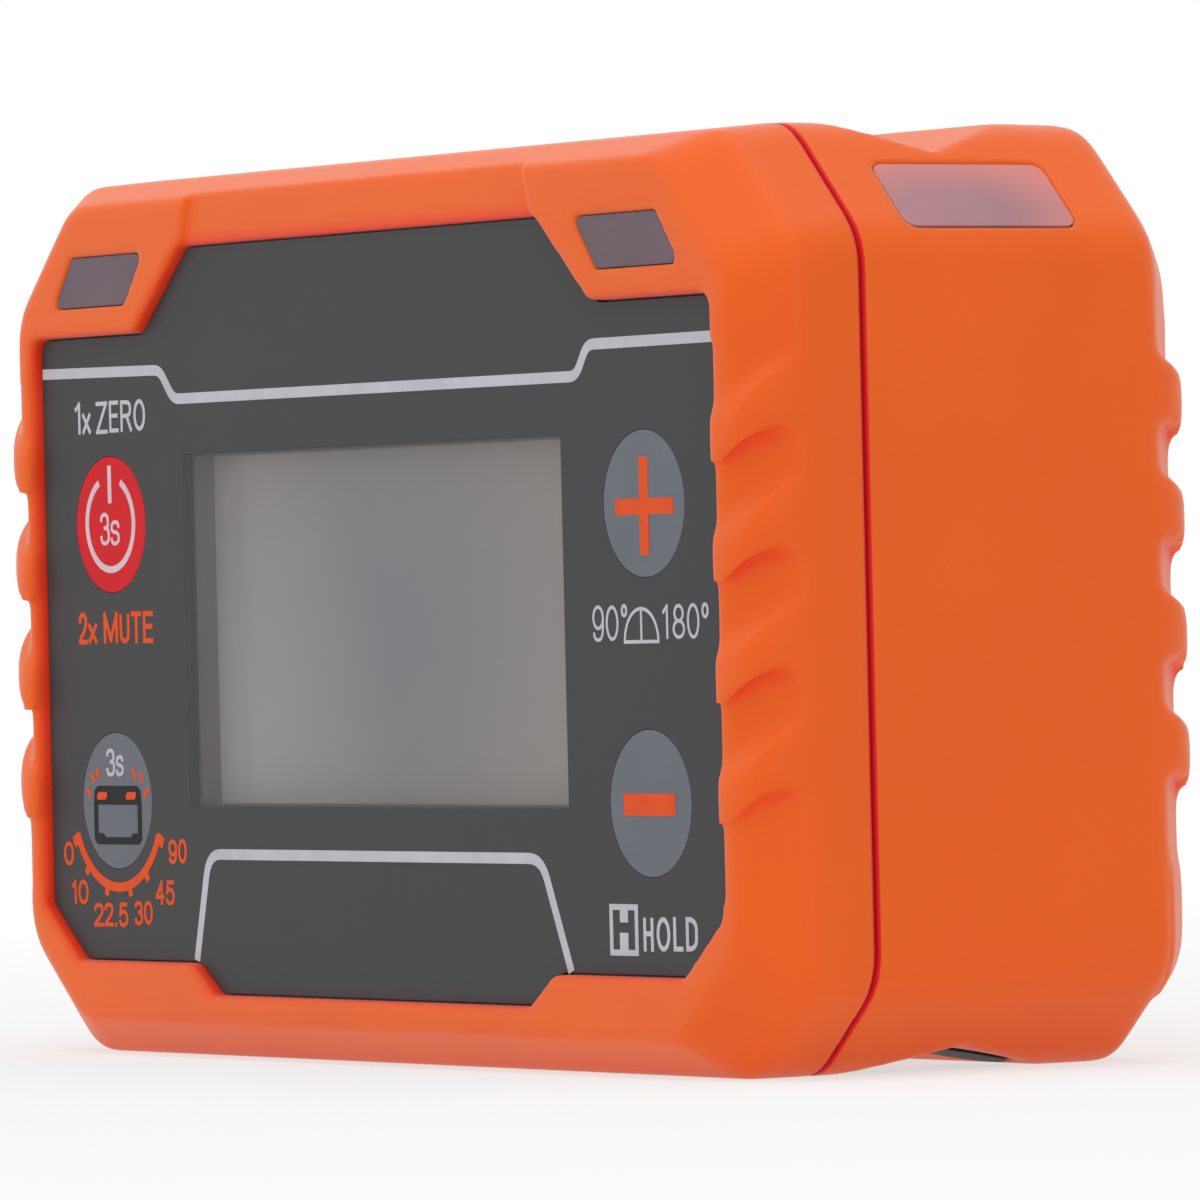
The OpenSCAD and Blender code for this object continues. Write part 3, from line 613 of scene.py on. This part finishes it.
edgeSpec = {
    "face_overlay": ("overlayPlate", 0.03 * mm, "overlay_film", overlayFilm),
    "power_button": ("powerKeyCap", 0.03 * mm, "key_red", redKey),
    "program_button": ("programKeyCap", 0.03 * mm, "key_grey", greyKey),
    "plus_button": ("plusKeyCap", 0.03 * mm, "key_grey", greyKey),
    "minus_button": ("minusKeyCap", 0.03 * mm, "key_grey", greyKey),
    "base_magnets": ("magnetDiscs", 0.22 * mm, "magnet_black", magnetMetal),
    "battery_door": ("doorPanel", 0.30 * mm, "case_plastic", casePlastic),
    "battery_cells": ("cellPair", 0.50 * mm, "cell_jacket", cellJacket),
    "housing_screws": ("screwSet", 0.12 * mm, "screw_metal", screwMetal),
    "front_left_light": ("frontLeftLens", 0.06 * mm, "light_milky",
                         milkyFinish("frontLeftMilky", frontLightSpec, "front_left_light")),
    "front_right_light": ("frontRightLens", 0.06 * mm, "light_milky",
                          milkyFinish("frontRightMilky", frontLightSpec, "front_right_light")),
    "side_left_light": ("sideLeftLens", 0.10 * mm, "light_milky",
                        milkyFinish("sideLeftMilky", sideLightSpec, "side_left_light")),
    "side_right_light": ("sideRightLens", 0.10 * mm, "light_milky",
                         milkyFinish("sideRightMilky", sideLightSpec, "side_right_light")),
}
for nodeName, (pieceName, width, slotName, material) in edgeSpec.items():
    brokenEdges(nodeName, pieceName, width, material)


capSpec = {"share": 1.02, "pieces": ("powerKeyCap", "programKeyCap", "plusKeyCap", "minusKeyCap")}


def growCap(pieceName, share):  # the film over a key nearly closes the gap round it
    cap = bpy.data.objects[pieceName]
    corners = np.array(cap.bound_box)
    middle = (corners.min(0) + corners.max(0)) / 2
    editAll(cap)
    bpy.ops.transform.resize(value=(share, 1, share), center_override=tuple(middle))
    leaveEdit()


for pieceName in capSpec["pieces"]:
    growCap(pieceName, capSpec["share"])
print("crisp pieces made")


# pieces that keep the solid's own mesh

plainFinish = {
    "display_window": clearPane, "lcd_frame": frameDark, "lcd_panel": displayGlass,
    "backlight_panel": diffuserWhite, "lcd_connector": stripRubber, "power_plunger": innerBlack,
    "program_plunger": innerBlack, "plus_plunger": innerBlack, "minus_plunger": innerBlack,
    "key_switches": innerBlack, "front_lamps": lampBody, "side_lamps": lampBody, "circuit_board": boardMask,
    "controller_chip": innerBlack, "tilt_sensor": innerBlack, "sounder": innerBlack,
    "bridge_contact": contactMetal, "end_contacts": contactMetal, "contact_springs": contactMetal,
}
for nodeName, material in plainFinish.items():
    nodes[nodeName].data.materials.clear()
    nodes[nodeName].data.materials.append(material)
print("inner pieces finished")


# printed lines, figures and symbols, in millimetres on the face

inkSpec = {
    "thickness": 0.02 * mm, "sink": 0.005 * mm, "coat": 0.002 * mm, "coats": 9, "arcStep": 6, "bendSteps": 5,
    "fullBend": 9,
}
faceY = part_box("face_overlay")[0].y
inkCount = 0


def inkDepth():  # each stroke a hair thicker than the last, so that crossing strokes never share a plane
    global inkCount
    inkCount += 1
    return inkSpec["thickness"] + inkSpec["coat"] * (inkCount % inkSpec["coats"])


def inkPatch(outline, lift=0.0):  # a filled flat shape with the thickness of the ink
    bpy.ops.object.select_all(action="DESELECT")
    bpy.ops.mesh.primitive_circle_add(vertices=len(outline), radius=mm, fill_type="NGON")
    patch = bpy.context.object
    for vertex, (x, z) in zip(patch.data.vertices, outline):
        vertex.co = (x * mm, faceY + inkSpec["sink"], z * mm)
    editAll(patch)
    bpy.ops.mesh.extrude_region_move(TRANSFORM_OT_translate={"value": (0, -inkDepth() - lift, 0)})
    bpy.ops.mesh.select_all(action="SELECT")
    bpy.ops.mesh.normals_make_consistent(inside=False)
    leaveEdit()
    return patch


def arcPoints(x, z, radius, start, end):
    steps = max(2, int(abs(end - start) / inkSpec["arcStep"]))
    angles = [math.radians(start + (end - start) * k / steps) for k in range(steps + 1)]
    return [(x + radius * math.cos(a), z + radius * math.sin(a)) for a in angles]


def ringPart(x, z, inner, outer, start, end):
    return inkPatch(arcPoints(x, z, outer, start, end) + arcPoints(x, z, inner, end, start))


def inkBar(x0, z0, x1, z1, width):
    run, rise = x1 - x0, z1 - z0
    length = math.hypot(run, rise)
    dx, dz = -rise / length * width / 2, run / length * width / 2
    return inkPatch([(x0 + dx, z0 + dz), (x0 - dx, z0 - dz), (x1 - dx, z1 - dz), (x1 + dx, z1 + dz)])


def roundedPath(points, radius):  # the corners of a centre line turned into short curves
    path = [points[0]]
    for before, corner, after in zip(points, points[1:], points[2:]):
        ends = []
        for other in (before, after):
            gap = math.dist(corner, other)
            part = min(radius, gap / 2) / gap
            ends.append([c + (o - c) * part for c, o in zip(corner, other)])
        for k in range(inkSpec["bendSteps"] + 1):
            t = k / inkSpec["bendSteps"]
            path.append(tuple((1 - t) ** 2 * a + 2 * t * (1 - t) * c + t * t * b
                              for a, c, b in zip(ends[0], corner, ends[1])))
    path.append(points[-1])
    return path


def inkStripe(points, width, radius):
    path = roundedPath(points, radius)
    left, right = [], []
    for k, (x, z) in enumerate(path):
        (xa, za), (xb, zb) = path[max(k - 1, 0)], path[min(k + 1, len(path) - 1)]
        length = math.hypot(xb - xa, zb - za)
        nx, nz = -(zb - za) / length * width / 2, (xb - xa) / length * width / 2
        left.append((x + nx, z + nz))
        right.append((x - nx, z - nz))
    return inkPatch(left + right[::-1])


def inkFrame(left, right, low, high, line):
    return [inkPatch([(left, low), (right, low), (right, low + line), (left, low + line)]),
            inkPatch([(left, high - line), (right, high - line), (right, high), (left, high)]),
            inkPatch([(left, low + line), (left + line, low + line), (left + line, high - line),
                      (left, high - line)]),
            inkPatch([(right - line, low + line), (right, low + line), (right, high - line),
                      (right - line, high - line)])]


def ovalHalf(x, z, across, tall, start, end):  # part of an oval's centre line, in shares of a letter
    return [(x + across * (a - 0.5), z + tall * (b - 0.5)) for a, b in arcPoints(0.5, 0.5, 1, start, end)]


strokeTable = {
    "1": [(0, [(0.3, 0.82), (0.85, 0.98)]), (0, [(0.85, 1.0), (0.85, 0.0)])],
    "x": [(0, [(0, 1), (1, 0)]), (0, [(0, 0), (1, 1)])],
    "Z": [(0, [(0, 1), (1, 1)]), (0, [(1, 1), (0, 0)]), (0, [(0, 0), (1, 0)])],
    "E": [(0, [(0, 0), (0, 1)]), (0, [(0, 1), (1, 1)]), (0, [(0, 0.53), (0.9, 0.53)]), (0, [(0, 0), (1, 0)])],
    "R": [(0, [(0, 0), (0, 1)]), (1, [(0, 1), (0.7, 1), (0.95, 0.9), (0.95, 0.6), (0.7, 0.5), (0, 0.5)]),
          (0, [(0.55, 0.5), (1, 0)])],
    "M": [(0, [(0, 0), (0, 1)]), (0, [(0, 1), (0.5, 0.05)]), (0, [(0.5, 0.05), (1, 1)]),
          (0, [(1, 1), (1, 0)])],
    "U": [(1, [(0, 1), (0, 0.3), (0.08, 0.06), (0.5, -0.04), (0.92, 0.06), (1, 0.3), (1, 1)])],
    "T": [(0, [(0, 1), (1, 1)]), (0, [(0.5, 1), (0.5, 0)])],
    "H": [(0, [(0, 0), (0, 1)]), (0, [(1, 0), (1, 1)]), (0, [(0, 0.53), (1, 0.53)])],
    "L": [(0, [(0, 1), (0, 0)]), (0, [(0, 0), (1, 0)])],
    "D": [(0, [(0, 0), (0, 1)]),
          (1, [(0, 1), (0.5, 1), (0.98, 0.85), (1.02, 0.5), (0.98, 0.15), (0.5, 0), (0, 0)])],
    "2": [(1, [(0.0, 0.72), (0.05, 0.95), (0.5, 1.06), (0.95, 0.95), (1.0, 0.66), (0.6, 0.36), (0.0, 0.08),
               (0, 0)]), (0, [(0, 0), (1, 0)])],
    "3": [(1, [(0.02, 0.76), (0.08, 0.96), (0.5, 1.05), (0.92, 0.95), (0.96, 0.62), (0.7, 0.53),
               (0.4, 0.53)]),
          (1, [(0.4, 0.53), (0.8, 0.53), (1.02, 0.4), (1.0, 0.06), (0.5, -0.05), (0.05, 0.03), (0, 0.26)])],
    "4": [(0, [(0.75, 0), (0.75, 1)]), (0, [(0.75, 1), (0, 0.3)]), (0, [(0, 0.3), (1, 0.3)])],
    "5": [(0, [(0.92, 1), (0.2, 1)]), (0, [(0.2, 1), (0.08, 0.5)]),
          (1, [(0.08, 0.5), (0.3, 0.66), (0.75, 0.64), (1.02, 0.45), (0.98, 0.08), (0.5, -0.05),
               (0.08, 0.03), (0, 0.24)])],
    "s": [(1, [(0.96, 0.74), (0.85, 1.0), (0.45, 1.05), (0.02, 0.9), (0.08, 0.55), (0.9, 0.5), (1.0, 0.1),
               (0.5, -0.06), (0.1, 0.0), (0, 0.26)])],
    "9": [(1, ovalHalf(0.5, 0.67, 0.5, 0.33, 0, 180)), (1, ovalHalf(0.5, 0.67, 0.5, 0.33, 180, 360)),
          (1, [(1, 0.7), (1, 0.3), (0.85, 0.03), (0.45, -0.04), (0.1, 0.04), (0.04, 0.22)])],
    "8": [(1, ovalHalf(0.5, 0.76, 0.4, 0.24, -90, 90)), (1, ovalHalf(0.5, 0.76, 0.4, 0.24, 90, 270)),
          (1, ovalHalf(0.5, 0.26, 0.5, 0.26, -90, 90)), (1, ovalHalf(0.5, 0.26, 0.5, 0.26, 90, 270))],
    "O": [(1, ovalHalf(0.5, 0.5, 0.5, 0.5, -90, 90)), (1, ovalHalf(0.5, 0.5, 0.5, 0.5, 90, 270))],
    ".": [(0, [(0.5, 0), (0.5, 1)])],
}
strokeTable["0"] = strokeTable["O"]
strokeTable["°"] = strokeTable["O"]


def inkLetter(letter, left, right, low, high, line):
    strokes = []
    for rounded, points in strokeTable[letter]:
        path = [(left + line / 2 + u * (right - left - line), low + line / 2 + v * (high - low - line))
                for u, v in points]
        if rounded:
            strokes.append(inkStripe(path, line, inkSpec["fullBend"]))
            continue
        for (xa, za), (xb, zb) in zip(path, path[1:]):
            reach = line / 2 / math.dist((xa, za), (xb, zb))
            dx, dz = (xb - xa) * reach, (zb - za) * reach
            strokes.append(inkBar(xa - dx, za - dz, xb + dx, zb + dz, line))
    return strokes


def inkWord(spec):
    strokes = []
    for letter, edges in zip(spec["letters"], spec["edges"]):
        strokes += inkLetter(letter, *edges, spec["line"])
    return strokes


def joinPrint(pieceName, parts, material, body):
    bpy.ops.object.select_all(action="DESELECT")
    for part in parts:
        part.select_set(True)
    bpy.context.view_layer.objects.active = parts[0]
    bpy.ops.object.join()
    joined = bpy.context.object
    joined.name = pieceName
    joined.data.materials.clear()
    joined.data.materials.append(material)
    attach(joined, body)
    return joined


stripeSpec = {
    "width": 0.68, "upperBend": 0.7, "lowerBend": 1.4,
    "upper": [(-40.04, 44.42), (-24.95, 44.24), (-23.3, 42.32), (24.5, 42.24), (25.8, 44.12), (40.04, 44.14)],
    "lower": [(-21.9, 6.25), (-20.15, 13.08), (19.4, 13.1), (22.48, 6.25)],
}
zeroLabel = {"letters": "1xZERO", "line": 0.27, "edges": (
    (-36.16, -35.14, 40.36, 42.47), (-35.0, -33.92, 40.38, 41.72), (-33.20, -31.75, 40.33, 42.43),
    (-31.52, -30.34, 40.38, 42.45), (-30.05, -28.61, 40.39, 42.44), (-28.39, -26.89, 40.40, 42.46))}
quarterLabel = {"letters": "90°", "line": 0.21, "edges": (
    (25.72, 26.98, 26.23, 28.39), (27.20, 28.59, 26.23, 28.37), (28.90, 29.58, 27.62, 28.44))}
halfLabel = {"letters": "180°", "line": 0.21, "edges": (
    (33.23, 34.10, 26.29, 28.36), (34.50, 35.83, 26.28, 28.36), (36.07, 37.40, 26.27, 28.39),
    (37.66, 38.42, 27.46, 28.42))}
holdLabel = {"letters": "HOLD", "line": 0.30, "edges": (
    (30.53, 31.63, 7.62, 9.64), (31.98, 33.45, 7.64, 9.70), (33.80, 34.85, 7.67, 9.72),
    (35.17, 36.45, 7.69, 9.74))}
muteLabel = {"letters": "2xMUTE", "line": 0.33, "edges": (
    (-36.10, -34.96, 26.66, 28.70), (-34.84, -33.70, 26.71, 28.02), (-32.85, -31.00, 26.70, 28.72),
    (-30.78, -29.48, 26.70, 28.76), (-29.31, -28.01, 26.67, 28.75), (-27.79, -26.50, 26.67, 28.75))}
arcIcon = {"x": 31.08, "base": 26.05, "radius": 1.84, "tall": 1.98, "line": 0.21, "over": 0.1}
holdIcon = {
    "left": 26.85, "right": 29.98, "low": 7.33, "high": 10.43, "line": 0.36,
    "tabs": ((28.0, 28.88, 9.33, 10.3), (27.96, 28.88, 7.45, 8.71)),
}

greyParts = [inkStripe(stripeSpec["upper"], stripeSpec["width"], stripeSpec["upperBend"]),
             inkStripe(stripeSpec["lower"], stripeSpec["width"], stripeSpec["lowerBend"])]
for label in (zeroLabel, quarterLabel, halfLabel, holdLabel):
    greyParts += inkWord(label)
arcMiddle = arcIcon["base"] + arcIcon["line"] / 2
arcPath = [(arcIcon["x"] + arcIcon["radius"] * (u - 0.5), arcMiddle + arcIcon["tall"] * (v - 0.5))
           for u, v in arcPoints(0.5, 0.5, 1, 0, 180)]
greyParts.append(inkStripe(arcPath, arcIcon["line"], inkSpec["fullBend"]))
arcReach = arcIcon["radius"] + arcIcon["over"]
greyParts.append(inkBar(arcIcon["x"] - arcReach, arcMiddle, arcIcon["x"] + arcReach, arcMiddle,
                        arcIcon["line"]))
greyParts.append(inkBar(arcIcon["x"], arcMiddle, arcIcon["x"], arcMiddle + arcIcon["tall"], arcIcon["line"]))
greyParts += inkFrame(holdIcon["left"], holdIcon["right"], holdIcon["low"], holdIcon["high"],
                      holdIcon["line"])
for left, right, low, high in holdIcon["tabs"]:
    greyParts.append(inkPatch([(left, low), (right, low), (right, high), (left, high)]))
joinPrint("facePrintGrey", greyParts, greyInk, "case")

dialSpec = {
    "x": -31.6, "z": 16.5, "inner": 5.35, "outer": 5.95, "start": 203, "end": 337,
    "tickIn": 5.55, "tickOut": 6.4,
    "ticks": ((205.5, 0.75), (228.5, 0.5), (255, 0.5), (283.5, 0.5), (306, 0.5), (334.5, 0.75)),
}
dialFigures = {"letters": "01022.5304590", "line": 0.27, "edges": (
    (-38.66, -37.39, 12.22, 13.81), (-37.84, -37.10, 9.72, 11.28), (-36.94, -35.61, 9.69, 11.32),
    (-34.95, -33.69, 8.26, 9.78), (-33.59, -32.43, 8.29, 9.81), (-32.26, -31.95, 8.29, 8.56),
    (-31.77, -30.56, 8.30, 9.88), (-29.73, -28.65, 8.44, 9.98), (-28.52, -27.38, 8.46, 10.03),
    (-26.96, -25.83, 9.76, 11.33), (-25.70, -24.56, 9.78, 11.37), (-25.22, -24.12, 12.44, 14.02),
    (-23.99, -22.89, 12.45, 14.06))}
orangeParts = inkWord(muteLabel) + inkWord(dialFigures)
orangeParts.append(ringPart(dialSpec["x"], dialSpec["z"], dialSpec["inner"], dialSpec["outer"],
                            dialSpec["start"], dialSpec["end"]))
for angle, width in dialSpec["ticks"]:
    c, s = math.cos(math.radians(angle)), math.sin(math.radians(angle))
    near, far = dialSpec["tickIn"], dialSpec["tickOut"]
    orangeParts.append(inkBar(dialSpec["x"] + c * near, dialSpec["z"] + s * near,
                              dialSpec["x"] + c * far, dialSpec["z"] + s * far, width))
joinPrint("facePrintOrange", orangeParts, orangeInk, "case")
print("face printed")

powerMark = {
    "x": -31.68, "z": 34.47, "outer": 3.2, "line": 0.44, "open": 27, "barLow": 35.8, "barHigh": 38.25,
}
powerTime = {"letters": "3s", "line": 0.25, "edges": (
    (-33.00, -31.80, 33.12, 35.16), (-31.70, -30.47, 33.10, 34.66))}
powerParts = [
    ringPart(powerMark["x"], powerMark["z"], powerMark["outer"] - powerMark["line"], powerMark["outer"],
             90 + powerMark["open"], 450 - powerMark["open"]),
    inkBar(powerMark["x"], powerMark["barLow"], powerMark["x"], powerMark["barHigh"], powerMark["line"])]
joinPrint("powerKeyPrint", powerParts + inkWord(powerTime), paleInk, "power_key")

programMark = {
    "left": -34.64, "right": -28.55, "low": 13.64, "high": 17.45, "line": 0.5, "corner": 0.55,
    "hoodLow": 16.32, "hoodDip": 0.1, "shoulder": 0.3, "sillHigh": 14.36, "foot": 0.35,
    "sillDip": 0.25, "dipFrom": 0.6, "dipTo": 0.9, "lampCut": 0.2, "lift": 0.04 * mm, "rayLine": 0.3,
    "lamps": ((-34.12, -32.88, 16.55, 17.05), (-30.42, -29.16, 16.56, 17.05)),
    "rays": ((-35.48, 17.32, -35.04, 16.73), (-34.89, 18.27, -34.44, 17.69), (-34.14, 18.64, -33.85, 17.91),
             (-29.54, 18.69, -29.29, 17.82), (-28.62, 18.36, -28.29, 17.69), (-27.45, 17.33, -28.19, 16.75)),
}
programTime = {"letters": "3s", "line": 0.25, "edges": (
    (-32.93, -31.80, 18.09, 19.84), (-31.72, -30.65, 18.09, 19.42))}


def programIcon(spec):  # hood, two posts and a sill; the two lamps on the hood are printed separately in orange
    left, right, low, high = spec["left"], spec["right"], spec["low"], spec["high"]
    hood, sill, post, foot = spec["hoodLow"], spec["sillHigh"], spec["line"], spec["foot"]
    hoodLeft, hoodRight = left + spec["corner"], right - spec["corner"]
    dip, shoulder, floorZ = spec["hoodDip"], high - spec["shoulder"], sill - spec["sillDip"]
    return [
        inkPatch([(left, hood), (hoodLeft, hood - dip), (hoodRight, hood - dip), (right, hood),
                  (right - dip, shoulder), (hoodRight, high), (hoodLeft, high), (left + dip, shoulder)]),
        inkPatch([(left, low + foot), (left + foot, low), (right - foot, low), (right, low + foot),
                  (right, sill), (hoodRight - spec["dipFrom"], sill), (hoodRight - spec["dipTo"], floorZ),
                  (hoodLeft + spec["dipTo"], floorZ), (hoodLeft + spec["dipFrom"], sill), (left, sill)]),
        inkPatch([(left, sill), (left + post, sill), (left + post, hood), (left, hood)]),
        inkPatch([(right - post, sill), (right, sill), (right, hood), (right - post, hood)])]


joinPrint("programKeyIcon", programIcon(programMark), blackInk, "program_key")
glowParts = [inkBar(*ray, programMark["rayLine"]) for ray in programMark["rays"]]
cut = programMark["lampCut"]
for left, right, low, high in programMark["lamps"]:
    outline = [(left, low), (right - cut, low), (right, low + cut), (right, high), (left + cut, high),
               (left, high - cut)]
    glowParts.append(inkPatch(outline, programMark["lift"]))
joinPrint("programKeyLamps", glowParts, orangeInk, "program_key")
joinPrint("programKeyTime", inkWord(programTime), greyInk, "program_key")

plusMark = {"low": 31.33, "high": 37.22, "left": 28.52, "right": 34.84, "x": 31.66, "z": 34.24, "line": 0.98}
plusArm = plusMark["line"] / 2
plusParts = [
    inkBar(plusMark["x"], plusMark["low"], plusMark["x"], plusMark["z"] - plusArm, plusMark["line"]),
    inkBar(plusMark["x"], plusMark["z"] + plusArm, plusMark["x"], plusMark["high"], plusMark["line"]),
    inkBar(plusMark["left"], plusMark["z"], plusMark["right"], plusMark["z"], plusMark["line"])]
joinPrint("plusKeyPrint", plusParts, orangeInk, "plus_key")
minusMark = {"left": 28.72, "right": 34.33, "z": 16.4, "line": 1.32}
joinPrint("minusKeyPrint", [inkBar(minusMark["left"], minusMark["z"], minusMark["right"], minusMark["z"],
                                   minusMark["line"])], orangeInk, "minus_key")
print("keys printed")


# floor, light and camera

floorSpec = {
    "size": 8, "drop": 0.02 * mm, "colour": (0.86, 0.86, 0.86, 1),
    "nearHalf": (0.3, 0.3, 0.3), "nearShade": 0.4, "lightTable": 0.35,  # where the floor keeps its shadow
}


def buildFloor(spec):
    bpy.ops.object.select_all(action="DESELECT")
    bpy.ops.mesh.primitive_plane_add(size=spec["size"], location=(0, 0, -spec["drop"]))
    floor = bpy.context.object
    floor.name = "studioFloor"
    material = bpy.data.materials.new("floorPaper")
    material.use_nodes = True
    tree = material.node_tree
    tree.nodes.remove(tree.nodes["Principled BSDF"])
    matt = tree.nodes.new("ShaderNodeBsdfDiffuse")
    matt.inputs["Color"].default_value = spec["colour"]
    glow = tree.nodes.new("ShaderNodeEmission")
    ray = tree.nodes.new("ShaderNodeLightPath")
    seen = mathNode(tree, "MAXIMUM", ray.outputs["Is Camera Ray"], ray.outputs["Is Transmission Ray"])
    near = glowAround(tree, (0, 0, 0), spec["nearHalf"])[0]
    white = mathNode(tree, "SUBTRACT", 1.0, mathNode(tree, "MULTIPLY", near, spec["nearShade"]))
    seen = mathNode(tree, "MULTIPLY", seen, white)
    mix = tree.nodes.new("ShaderNodeMixShader")
    tree.links.new(mathNode(tree, "MAXIMUM", seen, spec["lightTable"]), mix.inputs[0])
    tree.links.new(matt.outputs[0], mix.inputs[1])
    tree.links.new(glow.outputs[0], mix.inputs[2])
    tree.links.new(mix.outputs[0], tree.nodes["Material Output"].inputs["Surface"])
    floor.data.materials.append(material)


def buildWorld(level):
    world = bpy.data.worlds.new("studioWorld")
    world.use_nodes = True
    bpy.context.scene.world = world
    tree = world.node_tree
    light = tree.nodes["Background"]
    light.inputs["Strength"].default_value = level
    light.inputs["Color"].default_value = (1, 1, 1, 1)
    white = tree.nodes.new("ShaderNodeBackground")
    white.inputs["Color"].default_value = (1, 1, 1, 1)
    ray = tree.nodes.new("ShaderNodeLightPath")
    seen = mathNode(tree, "MAXIMUM", ray.outputs["Is Camera Ray"], ray.outputs["Is Transmission Ray"])
    seen = mathNode(tree, "MAXIMUM", seen, ray.outputs["Is Glossy Ray"])
    mix = tree.nodes.new("ShaderNodeMixShader")
    tree.links.new(seen, mix.inputs[0])
    tree.links.new(light.outputs[0], mix.inputs[1])
    tree.links.new(white.outputs[0], mix.inputs[2])
    tree.links.new(mix.outputs[0], tree.nodes["World Output"].inputs["Surface"])


def softBox(name, spot, size, power):
    bpy.ops.object.select_all(action="DESELECT")
    bpy.ops.object.light_add(type="AREA", location=spot)
    lamp = bpy.context.object
    lamp.name = name
    lamp.data.shape = "RECTANGLE"
    lamp.data.size, lamp.data.size_y = size
    lamp.data.energy = power
    aim = bpy.data.objects["body:case"].location.copy()
    aim.z = aimHeight
    lamp.rotation_euler = (aim - lamp.location).to_track_quat("-Z", "Y").to_euler()


worldLevel = 0.52
aimHeight = 0.03
lightSpec = {
    "topBox": ((0.05, -0.05, 0.75), (0.7, 0.7), 2.2), "sideBox": ((0.75, -0.25, 0.3), (0.7, 0.7), 1.1),
    "faceBox": ((-0.25, -0.75, 0.4), (0.7, 0.7), 1.2),
}
buildFloor(floorSpec)
buildWorld(worldLevel)
for name, (spot, size, power) in lightSpec.items():
    softBox(name, spot, size, power)

cameraSpec = {
    "place": (0.542787, -0.349676, 0.027909), "turn": (90.07471, 1.34817, 57.08079),
    "lens": 306.617, "sensor": 36, "clip": 0.01,
}
bpy.ops.object.camera_add(location=cameraSpec["place"],
                          rotation=[math.radians(a) for a in cameraSpec["turn"]])
camera = bpy.context.object
camera.data.lens = cameraSpec["lens"]
camera.data.sensor_width = cameraSpec["sensor"]
camera.data.clip_start = cameraSpec["clip"]
bpy.context.scene.camera = camera
bpy.context.scene.view_settings.view_transform = "Standard"
print("studio ready")
